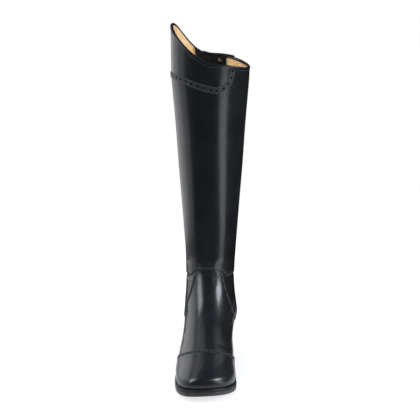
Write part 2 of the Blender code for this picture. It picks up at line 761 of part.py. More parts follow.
def build_zip():
    top_h = collar_h(180) - BELOW_COLLAR
    clear = GAP + 0.05
    tape = back_cells(TAPE_FOOT_H, top_h, lambda h: spread(-TAPE_HALF, TAPE_HALF, 4))
    patch("zip_tape", material("zip_tape", ELASTIC_BLACK, 0.8), tape, TAPE)
    for side, sign in (("outer", -1), ("inner", 1)):
        gore = back_cells(GORE_FOOT_H, top_h,
                          lambda h, sign=sign: [sign * SLOT_HALF, sign * (slot_half(h) - clear)])
        patch("gore_" + side, material("elastic_" + side, ELASTIC_BLACK, 0.85), gore, GORE)


def build_coil():
    """The closed teeth, as one low ridge along the tape."""
    shape = ((-COIL_HALF, COIL_SIDE), (-COIL_CREST_HALF, COIL.high),
             (COIL_CREST_HALF, COIL.high), (COIL_HALF, COIL_SIDE))
    sections = []
    for h in back_heights(TAPE_FOOT_H + COIL_ABOVE_TAPE, COIL_TOP_H):
        top = [upper_point(h, angle_at(h, x), off) for x, off in shape]
        foot = [upper_point(h, angle_at(h, x), COIL.low) for x in (COIL_HALF, -COIL_HALF)]
        sections.append(top + foot)
    swept("zip_teeth", material("zip_teeth", ELASTIC_BLACK, 0.5), sections)


def block(name, finish, centre, size, bevel, group=COLLECTION):
    """Box with rounded edges, sized and placed in millimetres."""
    bm = bmesh.new()
    bmesh.ops.create_cube(bm, size=1.0)
    bmesh.ops.scale(bm, vec=size * MM, verts=bm.verts)
    piece = add_object(name, mesh_from(name, bm), finish, group)
    piece.location = centre * MM
    if bevel:
        rounding = piece.modifiers.new("rounded", "BEVEL")
        rounding.width = bevel * MM
        rounding.segments = 2
    return piece


def as_cutter(piece):
    piece.hide_render = True
    piece.display_type = "WIRE"
    return piece


def combine(piece, other, operation):
    change = piece.modifiers.new(operation.lower(), "BOOLEAN")
    change.operation = operation
    change.object = as_cutter(other)


def pivot_point():
    face = upper_base(SLIDER_FOOT_Z, 180).y + COIL.low + SLIDER_SIZE.y
    return Vector((0.0, face + PIVOT_OUT, PIVOT_Z))


def build_slider():
    """Slider body with the crown that the pull's eye hangs from."""
    metal = material("zip_metal", ZIP_METAL, 0.3, 1.0)
    pivot = pivot_point()
    face = pivot.y - PIVOT_OUT
    centre = Vector((0.0, face - SLIDER_SIZE.y / 2, SLIDER_FOOT_Z + SLIDER_SIZE.z / 2))
    slider = block("zip_slider", metal, centre, SLIDER_SIZE, 0.7)
    crown_y = face - 0.5 + CROWN_SIZE.y / 2
    crown = block("crown", metal, Vector((0.0, crown_y, PIVOT_Z)), CROWN_SIZE, 0.0, CUTTERS)
    combine(slider, crown, "UNION")
    bm = bmesh.new()
    bmesh.ops.create_cone(bm, cap_ends=True, segments=20, radius1=PIVOT_HOLE_R * MM,
                          radius2=PIVOT_HOLE_R * MM, depth=12 * MM)
    hole = add_object("crown_hole", mesh_from("crown_hole", bm), metal, CUTTERS)
    hole.rotation_euler.y = math.pi / 2
    hole.location = pivot * MM
    combine(slider, hole, "DIFFERENCE")


def build_pull():
    """Flat pull with an eye; its origin is on the axis of the crown's hole."""
    outline = bpy.data.curves.new("zip_pull", "CURVE")
    outline.dimensions = "2D"
    outline.fill_mode = "BOTH"
    outline.extrude = PULL_THICK / 2 * MM
    centre_z = PULL_FOOT + PULL_FOOT_ROUND
    turns = [math.radians(deg) for deg in spread(0.0, -180.0, 11)]
    foot = [(PULL_HALF * math.cos(turn), centre_z + PULL_FOOT_ROUND * math.sin(turn)) for turn in turns]
    eye_low, eye_high = PULL_EYE
    shoulder = eye_low - PULL_SHOULDER_BELOW_EYE
    waist = eye_low - PULL_WAIST_BELOW_EYE
    body = [(-PULL_HALF, shoulder), (-PULL_WAIST_HALF, waist), (-PULL_WAIST_HALF, PULL_TOP),
            (PULL_WAIST_HALF, PULL_TOP), (PULL_WAIST_HALF, waist), (PULL_HALF, shoulder)]
    eye = [(-PULL_EYE_HALF, eye_low), (PULL_EYE_HALF, eye_low),
           (PULL_EYE_HALF, eye_high), (-PULL_EYE_HALF, eye_high)]
    for points in (body + foot, eye):
        spline = outline.splines.new("POLY")
        spline.points.add(len(points) - 1)
        for point, (x, z) in zip(spline.points, points):
            point.co = (x * MM, z * MM, 0.0, 1.0)
        spline.use_cyclic_u = True
    pull = bpy.data.objects.new("zip_pull", outline)
    outline.materials.append(bpy.data.materials["zip_metal"])
    bpy.data.collections[COLLECTION].objects.link(pull)
    pull.rotation_euler.x = math.pi / 2
    pull.location = pivot_point() * MM


def dome(name, finish, radius, high, centre, outward):
    """Low round cap on a flat base; its axis points along outward."""
    profile = [(radius, 0.0), (radius, high * 0.35), (radius * 0.86, high * 0.72),
               (radius * 0.55, high * 0.94)]
    bm = bmesh.new()
    loops = []
    for r, up in profile:
        loop = [bm.verts.new(Vector((r * math.cos(a), r * math.sin(a), up)) * MM)
                for a in spread(0.0, 2 * math.pi, DOME_SIDES + 1)[:-1]]
        loops.append(loop)
    for a, b in zip(loops, loops[1:]):
        for j in range(DOME_SIDES):
            k = (j + 1) % DOME_SIDES
            bm.faces.new([a[j], a[k], b[k], b[j]])
    tip = bm.verts.new(Vector((0.0, 0.0, high)) * MM)
    for j in range(DOME_SIDES):
        bm.faces.new([loops[-1][j], loops[-1][(j + 1) % DOME_SIDES], tip])
    bm.faces.new(loops[0])
    piece = add_object(name, mesh_from(name, bm), finish)
    piece.rotation_euler = outward.to_track_quat("Z", "Y").to_euler()
    piece.location = centre
    return piece


def build_tab():
    angles = [angle_at(SNAP_H, x) for x in spread(*TAB_X, 9)]
    cells = []
    for share in (0.0, 0.5, 1.0):
        tops = [collar_h(angle) + TAB_ABOVE_COLLAR for angle in angles]
        cells.append([(TAB_FOOT_H + (top - TAB_FOOT_H) * share, angle)
                      for top, angle in zip(tops, angles)])
    patch("snap_tab", material("snap_tab_leather", LEATHER_BLACK, 0.25), cells, TAB)
    angle = angle_at(SNAP_H, SNAP_X)
    outward = upper_normal(SNAP_H, angle)
    metal = material("snap_metal", ZIP_METAL, 0.25, 1.0)
    dome("snap_cap", metal, SNAP_CAP_R, SNAP_CAP_HIGH,
         upper_point(SNAP_H, angle, TAB.high + GAP), outward)
    dome("snap_rivet", metal, RIVET_R, RIVET_HIGH,
         upper_point(SNAP_H, angle, GUARD.low - GAP - 0.1), -outward)


def main():
    for old in list(bpy.data.objects):
        bpy.data.objects.remove(old, do_unlink=True)
    collection(COLLECTION)
    collection(CUTTERS)
    build_upper()
    build_outsole()
    build_welt()
    build_insole()
    build_heel()
    build_toe_cap()
    build_quarter()
    build_collar_band()
    build_binding()
    build_guard()
    build_zip()
    build_coil()
    build_slider()
    build_pull()
    build_tab()


main()
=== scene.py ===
"""Dress riding boot: the looks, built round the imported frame.

The tables and the surface of the upper repeat the part's own, in millimetres, so that each panel,
seam, stitch and hole is placed in the boot's own sizes. A place on the upper is a height h up the
back seam and an angle round the leg: 0 is the front, 90 the outer side, 180 the back, 270 the
inner side.
"""
import math
from collections import namedtuple

import bmesh
import bpy
import numpy as np
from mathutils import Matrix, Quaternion, Vector


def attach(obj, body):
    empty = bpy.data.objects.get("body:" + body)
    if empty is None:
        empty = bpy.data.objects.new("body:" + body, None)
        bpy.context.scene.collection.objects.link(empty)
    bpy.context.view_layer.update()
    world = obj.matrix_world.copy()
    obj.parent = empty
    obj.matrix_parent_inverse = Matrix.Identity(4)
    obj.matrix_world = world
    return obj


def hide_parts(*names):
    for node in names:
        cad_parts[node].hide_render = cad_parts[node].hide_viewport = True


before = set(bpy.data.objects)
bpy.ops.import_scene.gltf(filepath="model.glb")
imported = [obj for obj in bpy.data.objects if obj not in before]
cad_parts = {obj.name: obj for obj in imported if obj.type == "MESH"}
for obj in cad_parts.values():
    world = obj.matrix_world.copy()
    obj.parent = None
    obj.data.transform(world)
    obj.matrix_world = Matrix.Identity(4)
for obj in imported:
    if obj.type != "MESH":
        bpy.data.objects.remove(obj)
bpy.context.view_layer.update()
BODY = "boot"
MM = 0.001
WALL = 2.2
SHAFT_STEP = 1.4
GAP = 0.35
PROBE = 0.6  # the step, in millimetres or degrees, by which slopes are read
HALVINGS = 26

# The sole, a row for each section from the toe to the heel
SoleRow = namedtuple("SoleRow", "y lift outer inner outsole welt feather")
SOLE = [SoleRow(*row) for row in (
    (-250, 9.6, 42.5, 43, 6, 4, 4),
    (-235, 5.8, 43.5, 44, 6, 4, 4.2),
    (-215, 2.6, 45, 45.5, 6, 4, 4.6),
    (-195, 0.6, 46, 46.6, 6, 4, 5),
    (-175, 0, 46.4, 46.4, 6, 4, 5),
    (-155, 0, 45.6, 46.2, 6, 4, 5),
    (-130, 0, 42.6, 43.4, 6, 4, 4.8),
    (-110, 1.2, 38.6, 38.6, 6, 4, 4.6),
    (-90, 5, 34.6, 32.6, 5.6, 3.8, 4.4),
    (-65, 12.6, 31.6, 28.2, 5, 3.5, 4),
    (-42, 19.4, 31.6, 29.2, 4.6, 3.2, 3.6),
    (-28, 22, 32.2, 30.6, 4.4, 3, 3.3),
    (0, 22, 33.6, 32.6, 4.4, 3, 3),
    (37, 22, 33.4, 32.6, 4.4, 3, 3),
)]
TOE_Y = SOLE[0].y
HEEL_Y = SOLE[-1].y
TOE_ROUND = (64.0, 2.35)
HEEL_ROUND = (36.0, 2.2)
TOE_SWING = 8.5
SWING_FROM_Y = -95.0
TOE_SLANT = 0.22
SLANT_FROM_Y = -165.0

# The upper, a row for each ring from the sole to the collar
Ring = namedtuple("Ring", "back_z back_y front_z front_y outer inner front_end back_end"
                          " front_square back_square plan swell", defaults=(0.0, 0.0))
RINGS = [Ring(*row) for row in (
    (30.3, 34, 20.4, -246, 40, 40, 0.23, 0.13, 2.35, 2.2, 1, 0),
    (36, 36, 27, -248, 40, 40, 0.23, 0.13, 2.35, 2.2, 1, 2),
    (43, 36.8, 35.5, -246.5, 39, 39, 0.26, 0.14, 2.3, 2.2, 0.92, 2.8),
    (50, 36.4, 43, -239, 40, 42, 0.34, 0.16, 2.2, 2.2, 0.76, 2.2),
    (57.5, 35.6, 49, -226, 41.4, 46.4, 0.46, 0.2, 2.1, 2.2, 0.54, 1.2),
    (66, 34.6, 55, -205, 41.6, 47.2, 0.6, 0.24, 2, 2.2, 0.32, 0),
    (76, 33.4, 64, -175, 40.6, 44.2, 0.68, 0.28, 1.95, 2.2, 0.15, 0),
    (88, 32.2, 76.5, -143, 39.2, 41, 0.68, 0.32, 1.95, 2.15, 0.06, 0),
    (100, 31.4, 92, -114.5, 38, 38.6, 0.63, 0.37, 2, 2.15),
    (112, 30.8, 111, -91.5, 37.2, 37.2, 0.58, 0.42, 2.05, 2.1),
    (124, 30.4, 130, -77, 36.8, 36.4, 0.54, 0.46, 2.1, 2.1),
    (140, 30.6, 149, -68, 37.4, 37, 0.51, 0.49, 2.1, 2.05),
    (162, 31.8, 168, -63.5, 38, 38.2, 0.5, 0.5, 2.1, 2.05),
    (200, 35.6, 201, -64.5, 40.4, 40.6, 0.5, 0.5, 2.1, 2.05),
    (250, 41.4, 250, -67.5, 44.2, 44.2, 0.5, 0.5, 2.08, 2.05),
    (310, 47.8, 310, -70.5, 49.2, 48.8, 0.5, 0.5, 2.06, 2.06),
    (370, 50, 370, -72, 53.4, 52.6, 0.5, 0.5, 2.06, 2.08),
    (420, 48.4, 420, -72.4, 57.6, 56.6, 0.5, 0.5, 2.08, 2.1),
    (450, 46.6, 450, -72, 59.8, 58.8, 0.5, 0.5, 2.1, 2.12),
    (485, 45.6, 485, -71.4, 60.2, 59.8, 0.5, 0.5, 2.1, 2.12),
    (535, 45, 535, -71, 60.4, 60, 0.5, 0.5, 2.1, 2.12),
)]
FEATHER_H = RINGS[0].back_z

COLLAR_LOW = 462.0
COLLAR_FRONT_BACK_RISE = 11.0
WING_RISE = 65.0
WING_PEAK_DEG = 97.0
WING_FRONT = (105.0, 1.6)
WING_BACK = (85.0, 2.05)
LEVEL_H = 405.0
EDGE_FRONT_H = 140.0
EDGE_SIDE_H = 130.0
EDGE_BACK_H = 84.0
TONGUE_DEG = (24.0, 52.0)
COUNTER_DEG = (105.0, 160.0)
SLOT_FOOT_LEVEL = 1.025
SLOT_FOOT_H = EDGE_BACK_H + (SLOT_FOOT_LEVEL - 1) * (LEVEL_H - EDGE_BACK_H)
SLOT_HALF = 6.6
SLOT_TOP_HALF = 19.0
SLOT_WIDENS_H = 205.0
COIL_TOP_H = 440.5
CAP_CREST_Y = -190.0
CAP_SWEEP = 54.0
CAP_DEG = 78.0
CAP_HIGHEST_H = 100.0
QUARTER_H = [FEATHER_H, 50.0, 70.0, 84.0, 100.0, 133.0]
QUARTER_FRONT_Y = [-24.0, -34.0, -48.0, -60.0, -68.0, -69.0]
CollarBand = namedtuple("CollarBand", "outer_deg z")
COLLAR_BAND = [CollarBand(*row) for row in (
    (-35.5, 464), (-34.7, 458), (-32, 449), (-27, 441.5), (-20, 435.5), (-11, 433.2),
    (3, 436.5), (20, 441.5), (48, 449.5), (84, 450.5), (122, 449.5), (160.5, 449.5),
)]

# Heights above the upper's outer face at which each layer lies
Layer = namedtuple("Layer", "low high")
SHAFT_SKIN = Layer(0.1, SHAFT_STEP)
VAMP_SKIN = Layer(-1.1, 0.0)
LINING = Layer(-WALL, -1.15)
OVERLAY = Layer(0.12, 1.25)
TAPE = Layer(-1.9, -0.9)
GORE = Layer(-1.7, -0.5)
GUARD = Layer(-WALL - GAP - 1.7, -WALL - GAP - 0.7)
TAB = Layer(3.1, 4.9)

# The camera stands where the photograph's did, seen from the boot
CAMERA_AWAY = 2.2
CAMERA_HEIGHT = 0.76
CAMERA_AZIMUTH = math.radians(4.0)
CAMERA_DOWN = math.radians(13.54)
FRAME_PX = 420
FOCAL_PX = 1417
SENSOR_MM = 36.0
AIM_X = -0.002  # the camera turns so that this line of the boot is in the middle


class Column:
    """Monotone cubic through a table's column, flat past its ends."""

    def __init__(self, knots, values):
        self.knots = np.array(knots, float)
        self.values = np.array(values, float)
        slope = np.diff(self.values) / np.diff(self.knots)
        before, after = slope[:-1], slope[1:]
        same_way = before * after > 0
        total = np.where(same_way, before + after, 1.0)
        middle = np.where(same_way, 2 * before * after / total, 0.0)
        self.tangents = np.concatenate([slope[:1], middle, slope[-1:]])

    def __call__(self, x):
        x = np.clip(x, self.knots[0], self.knots[-1])
        i = np.clip(np.searchsorted(self.knots, x, side="right") - 1, 0, len(self.knots) - 2)
        span = self.knots[i + 1] - self.knots[i]
        t = (x - self.knots[i]) / span
        start = (1 + 2 * t) * (1 - t) ** 2 * self.values[i]
        start = start + t * (1 - t) ** 2 * span * self.tangents[i]
        end = t * t * (3 - 2 * t) * self.values[i + 1]
        return start + end + t * t * (t - 1) * span * self.tangents[i + 1]


SOLE_AT = {name: Column([row.y for row in SOLE], [getattr(row, name) for row in SOLE])
           for name in SoleRow._fields}
RING_AT = {name: Column([row.back_z for row in RINGS], [getattr(row, name) for row in RINGS])
           for name in Ring._fields}
QUARTER_FRONT = Column(QUARTER_H, QUARTER_FRONT_Y)


def ease(start, end, x):
    t = np.clip((x - start) / (end - start), 0.0, 1.0)
    return t * t * (3 - 2 * t)


def closing(t, square):
    t = np.clip(t, 0.0, 1.0)
    return np.maximum(1 - (1 - t) ** square, 0.0) ** (1 / square)


def foot_bend(x, y):
    """The foot's curve: the toe leans to the inner side, and its end slants back there."""
    return (x + TOE_SWING * ease(SWING_FROM_Y, TOE_Y - 20.0, y),
            y + TOE_SLANT * x * ease(SLANT_FROM_Y, TOE_Y, y))


def outsole_top(y):
    return SOLE_AT["lift"](y) + SOLE_AT["outsole"](y)


def welt_top(y):
    return outsole_top(y) + GAP + SOLE_AT["welt"](y)


def from_front(angle):
    angle = np.mod(angle, 360.0)
    return np.minimum(angle, 360.0 - angle)


def matched(*values):
    """Arrays of floats, spread to one shape."""
    return np.broadcast_arrays(*(np.asarray(value, float) for value in values))


def upper_base(h, angle):
    """Points of the upper's outer face, in millimetres, for arrays of heights and angles."""
    h, angle = matched(h, angle)
    column = {name: read(h) for name, read in RING_AT.items()}
    outer = np.mod(angle, 360.0) <= 180.0
    length = column["back_y"] - column["front_y"]
    y = (column["front_y"] + column["back_y"]) / 2
    y = y - length / 2 * np.cos(np.radians(from_front(angle)))
    plan = column["plan"]
    leg_half = np.where(outer, column["outer"], column["inner"])
    sole_half = np.where(outer, SOLE_AT["outer"](y), SOLE_AT["inner"](y))
    width = (1 - plan) * leg_half + plan * (sole_half - SOLE_AT["feather"](y) + column["swell"])
    front_share = (y - column["front_y"]) / (length * column["front_end"])
    back_share = (column["back_y"] - y) / (length * column["back_end"])
    width = width * closing(front_share, column["front_square"])
    width = width * closing(back_share, column["back_square"])
    level = column["front_z"] + (h - column["front_z"]) * (y - column["front_y"]) / length
    z = (1 - plan) * level + plan * (welt_top(y) + GAP + h - FEATHER_H)
    x, y = foot_bend(np.where(outer, -width, width), y)
    return np.stack([x, y, z], axis=-1)


def upper_frame(h, angle):
    """Point, the steps for a millimetre up and a degree along the surface, and its normal."""
    low = np.maximum(h - PROBE, FEATHER_H)
    up = (upper_base(h + PROBE, angle) - upper_base(low, angle)) / (h + PROBE - low)[..., None]
    along = (upper_base(h, angle + PROBE) - upper_base(h, angle - PROBE)) / (2 * PROBE)
    normal = np.cross(up, along)
    normal = normal / np.linalg.norm(normal, axis=-1, keepdims=True)
    return upper_base(h, angle), up, along, normal


def surface_step(vector, up, along):
    """Changes of height and angle that move a place on the surface by a vector."""
    uu, aa, ua = (np.sum(p * q, axis=-1) for p, q in ((up, up), (along, along), (up, along)))
    vu, va = np.sum(vector * up, axis=-1), np.sum(vector * along, axis=-1)
    size = uu * aa - ua * ua
    return (vu * aa - va * ua) / size, (va * uu - vu * ua) / size


def upper_point(h, angle, off):
    """Points that stand off the upper's outer face, in metres."""
    h, angle, off = matched(h, angle, off)
    point, _, _, normal = upper_frame(h, angle)
    return (point + off[..., None] * normal) * MM


def collar_h(angle):
    away = np.mod(angle, 360.0) - WING_PEAK_DEG
    away = np.where(away > 180, away - 360, away)
    span = np.where(away > 0, WING_BACK[0], WING_FRONT[0])
    hollow = np.where(away > 0, WING_BACK[1], WING_FRONT[1])
    lean = np.minimum(np.abs(away) / span, 1.0)
    wing = WING_RISE * np.maximum(np.cos(math.pi / 2 * lean), 0.0) ** hollow
    return COLLAR_LOW + COLLAR_FRONT_BACK_RISE * np.cos(np.radians(angle)) ** 2 + wing


def shaft_edge_h(angle):
    away = from_front(angle)
    tongue = 1 - ease(*TONGUE_DEG, away)
    counter = ease(*COUNTER_DEG, away)
    return EDGE_SIDE_H + tongue * (EDGE_FRONT_H - EDGE_SIDE_H) - counter * (EDGE_SIDE_H - EDGE_BACK_H)


def height(level, angle):
    """0 at the sole, 1 at the shaft's lower edge, 2 where the shaft is level, 3 at the collar."""
    level = np.asarray(level, float)
    edge, collar = shaft_edge_h(angle), collar_h(angle)
    foot = FEATHER_H + level * (edge - FEATHER_H)
    shaft = edge + (level - 1) * (LEVEL_H - edge)
    top = LEVEL_H + (level - 2) * (collar - LEVEL_H)
    return np.where(level < 1, foot, np.where(level < 2, shaft, top))


def slot_half(h):
    top = float(collar_h(180.0))
    share = np.clip((h - SLOT_WIDENS_H) / (top - SLOT_WIDENS_H), 0.0, 1.0)
    return SLOT_HALF + share * (SLOT_TOP_HALF - SLOT_HALF)


def halved(short, near, far):
    """Where short turns false on the way from near to far."""
    for _ in range(HALVINGS):
        middle = (near + far) / 2
        is_short = short(middle)
        near, far = np.where(is_short, middle, near), np.where(is_short, far, middle)
    return (near + far) / 2


def angle_at(h, x):
    """Angles on the back half whose points lie x to the inner side of the back seam."""
    h, x = matched(h, x)
    back, side = np.full(h.shape, 180.0), np.where(x >= 0, 270.0, 90.0)
    return halved(lambda angle: np.abs(upper_base(h, angle)[..., 0]) < np.abs(x), back, side)


def angle_at_y(h, y, outer):
    front_y, back_y = RING_AT["front_y"](h), RING_AT["back_y"](h)
    share = np.clip(((front_y + back_y) / 2 - y) / ((back_y - front_y) / 2), -1.0, 1.0)
    away = np.degrees(np.arccos(share))
    return away if outer else 360.0 - away


def cap_edge_h(angle):
    angle = np.asarray(angle, float)
    edge_y = CAP_CREST_Y + CAP_SWEEP * (from_front(angle) / CAP_DEG) ** 3
    low, high = np.full(angle.shape, FEATHER_H), np.full(angle.shape, CAP_HIGHEST_H)
    return halved(lambda h: upper_base(h, angle)[..., 1] < edge_y, low, high)


def add_object(name, data):
    made = bpy.data.objects.new(name, data)
    bpy.context.scene.collection.objects.link(made)
    return made


def add_piece(name, points, faces, finish="black_calf", replaced=None,
              smooth_deg=50.0):
    """Object from points in metres, riding on the boot; replaced names the part's node it dresses."""
    mesh = bpy.data.meshes.new(name)
    mesh.from_pydata([tuple(p) for p in points], [], faces)
    mesh.validate()
    bm = bmesh.new()
    bm.from_mesh(mesh)
    bmesh.ops.recalc_face_normals(bm, faces=bm.faces)
    bm.to_mesh(mesh)
    bm.free()
    mesh.shade_smooth()
    mesh.set_sharp_from_angle(angle=math.radians(smooth_deg))
    mesh.materials.append(FINISH[finish])
    piece = add_object(name, mesh)
    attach(piece, BODY)
    if replaced:
        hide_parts(replaced)


def grid_faces(rows, columns, close_rows=False, close_columns=False):
    """Quads of a grid of points; where it closes, the last line meets the first."""
    faces = []
    for i in range(rows if close_rows else rows - 1):
        here, after = i * columns, (i + 1) % rows * columns
        for j in range(columns if close_columns else columns - 1):
            beside = (j + 1) % columns
            faces.append((here + j, here + beside, after + beside, after + j))
    return faces


def repeated(faces, count, size):
    """Faces of one shape of so many points, for a row of such shapes."""
    return [tuple(n * size + corner for corner in face) for n in range(count) for face in faces]


def skins(name, h, angle, high, low, finish="black_calf", replaced=None,
          wrap=False):
    """Closed piece over a grid of places, between two heights above the upper's face."""
    outer, inner = upper_point(h, angle, high), upper_point(h, angle, low)
    rows, columns = outer.shape[:2]
    base = rows * columns
    faces = grid_faces(rows, columns, close_columns=wrap)
    faces += [tuple(base + corner for corner in reversed(face)) for face in faces]
    row, column = list(range(columns)), list(range(0, base, columns))
    lines = [row[::-1], [base - columns + j for j in row]]
    if wrap:
        lines = [line + line[:1] for line in lines]
    else:
        lines += [column, [i + columns - 1 for i in reversed(column)]]
    for line in lines:
        faces += [(a, b, base + b, base + a) for a, b in zip(line, line[1:])]
    points = np.concatenate([outer.reshape(-1, 3), inner.reshape(-1, 3)])
    add_piece(name, points, faces, finish, replaced)


CLOSE_STEP = 0.35  # the line next to an edge, as a share of the margin
EDGE_MARGIN = 0.8  # the strip along a panel's edge, in millimetres or degrees
ROLL = (0.75, 0.22)  # how far the outermost and the next line of a panel sink


def edge_steps(start, end, count, margin):
    """Even steps with two close ones at each end, for a rounded edge."""
    close = margin * CLOSE_STEP
    even = np.linspace(start + margin, end - margin, count)
    return np.concatenate([[start, start + close], even, [end - close, end]])


def between(start, end, count, margin):
    """Grid whose rows run from each start to its end, with close steps at both."""
    share = edge_steps(0.0, 1.0, count, margin)
    return start[:, None] + (end - start)[:, None] * share


def rolled(shape, layer, rows=True, columns=True):
    """Heights of a panel's outer skin, sinking towards its edges."""
    high = np.full(shape, layer.high)
    for k, sink in enumerate(ROLL):
        lines = [high[k, :], high[-1 - k, :]] if rows else []
        lines += [high[:, k], high[:, -1 - k]] if columns else []
        for line in lines:
            np.minimum(line, layer.high - sink * (layer.high - layer.low), out=line)
    return high


# Creases and hollows pressed into the leather: where each one's middle lies, how far it
# runs round and up, how deep it is, and how it slants
Crease = namedtuple("Crease", "h angle half_deg half_h depth slant")
CREASES = [Crease(*row) for row in (
    (134, -21, 5, 6, 0.6, 0.5),
    (128, -15, 5, 4, -0.3, 0.4),
    (96, -78, 9, 6, 0.9, -0.5),
    (86, -74, 9, 4, -0.8, -0.5),
    (152, 60, 22, 5, -0.3, 0.10),
    (160, -70, 22, 5, -0.3, -0.08),
    (120, 178, 30, 5, -0.4, 0),
    (66.8, -42.5, 20, 1.5, 1, 0.44),
    (70.5, -42.5, 20, 1.6, -0.5, 0.44),
    (74, 15, 13, 1.8, -0.15, -0.03),
)]


def relief(h, angle):
    """How far the leather stands in or out at a place."""
    total = np.zeros(np.broadcast(h, angle).shape)
    for crease in CREASES:
        away = np.mod(angle - crease.angle + 180.0, 360.0) - 180.0
        across = (h - crease.h - crease.slant * away) / crease.half_h
        total = total + crease.depth * np.exp(-(away / crease.half_deg) ** 2 * 2 - across ** 2 * 2)
    return total


TRACK_AHEAD = 0.8  # how far along a track its direction is read, in millimetres
SHIFT_ROUNDS = 4


class Track:
    """A line on the upper, read by its length in millimetres, with room to either side."""

    def __init__(self, h, angle, base_off):
        self.h, self.angle = np.asarray(h, float), np.asarray(angle, float)
        points = upper_point(self.h, self.angle, base_off) / MM
        steps = np.linalg.norm(np.diff(points, axis=0), axis=1)
        self.s = np.concatenate([[0.0], np.cumsum(steps)])
        self.length = float(self.s[-1])
        self.base_off = base_off

    def at(self, s, t, off):
        """Points s along the line, t to its left and off above the line's own layer."""
        s, t, off = matched(s, t, off)
        h, angle = np.interp(s, self.s, self.h), np.interp(s, self.s, self.angle)
        ahead = np.minimum(s + TRACK_AHEAD, self.length)
        behind = np.maximum(s - TRACK_AHEAD, 0.0)
        dh = np.interp(ahead, self.s, self.h) - np.interp(behind, self.s, self.h)
        da = np.interp(ahead, self.s, self.angle) - np.interp(behind, self.s, self.angle)
        _, up, along, normal = upper_frame(h, angle)
        forward = up * dh[..., None] + along * da[..., None]
        forward = forward / np.linalg.norm(forward, axis=-1, keepdims=True)
        higher, further = surface_step(np.cross(normal, forward) * t[..., None], up, along)
        return upper_point(h + higher, angle + further, self.base_off + off)

    def shifted(self, aside):
        """Track that runs beside this one; aside is to its left."""
        s = np.linspace(0.0, self.length, len(self.s))
        points = self.at(s, aside, 0.0) / MM
        h, angle = np.interp(s, self.s, self.h), np.interp(s, self.s, self.angle)
        for _ in range(SHIFT_ROUNDS):
            base, up, along, _ = upper_frame(h, angle)
            higher, further = surface_step(points - base, up, along)
            h, angle = h + higher, angle + further
        return Track(h, angle, self.base_off)


# A stitch: places along it with its girth there, as shares of its length and radius
STITCH_ALONG = np.array([-0.5, -0.36, 0.0, 0.36, 0.5])
STITCH_GIRTH = np.array([0.25, 0.8, 1.0, 0.8, 0.25])
STITCH_SIDES = 6
STITCH_SLANT = 0.12
STITCH_FLATNESS = 0.9
STITCH_SUNK = 0.04
STITCH_MARGIN = 2.0


def stitch_line(track, aside, pitch=2.3, length=1.7, radius=0.26):
    """Points and faces of a row of stitches, each a short slanted lozenge of thread."""
    count = max(int((track.length - 2 * STITCH_MARGIN) / pitch), 1)
    places = STITCH_MARGIN + pitch * (np.arange(count) + 0.5)
    turn = 2 * math.pi * np.arange(STITCH_SIDES) / STITCH_SIDES
    along = np.repeat(STITCH_ALONG * length, STITCH_SIDES)
    girth = STITCH_GIRTH[:, None] * radius
    left = (girth * np.cos(turn)).ravel() + along * STITCH_SLANT
    above = (girth * np.sin(turn)).ravel() * STITCH_FLATNESS - STITCH_SUNK
    points = track.at(places[:, None] + along, aside + left, above).reshape(-1, 3)
    rings = len(STITCH_ALONG)
    size = rings * STITCH_SIDES
    faces = grid_faces(rings, STITCH_SIDES, close_columns=True)
    faces += [tuple(reversed(range(STITCH_SIDES))), tuple(range(size - STITCH_SIDES, size))]
    return points, repeated(faces, count, size)


def stitch_piece(name, lines):
    points, faces, base = [], [], 0
    for line_points, line_faces in lines:
        points.append(line_points)
        faces.extend(tuple(base + corner for corner in face) for face in line_faces)
        base += len(line_points)
    add_piece(name, np.concatenate(points), faces, "thread", smooth_deg=60.0)


# Punched strips: half the width, the layer, the length of a cell, the radii of the holes in turn,
# and the half width and height of the dark strip of painted shade seen through them
Punching = namedtuple("Punching", "half layer cell radii backing_half backing_off")
CAP_PUNCHING = Punching(2.3, Layer(-1.0, 0.4), 4.5, (1.35,), 1.6, -0.3)
BAND_PUNCHING = Punching(3.9, Layer(0.02, 1.2), 3.4, (1.7, 0.6, 0.6), 2.6, 0.45)
PINK_TOOTH = 0.45
CELL_SIDE = 4  # points on each of a cell's four sides
FIRST_CORNER_DEG = -135.0
JOINED_SIDES = (1, 3)  # a cell's sides that meet the next cells
BREAK_DOWN = 0.25  # how the edges of the strip and its holes are broken
HOLE_BREAK = 0.22
EDGE_BREAK = 0.94
SHADE_STRIP_STEPS = 400


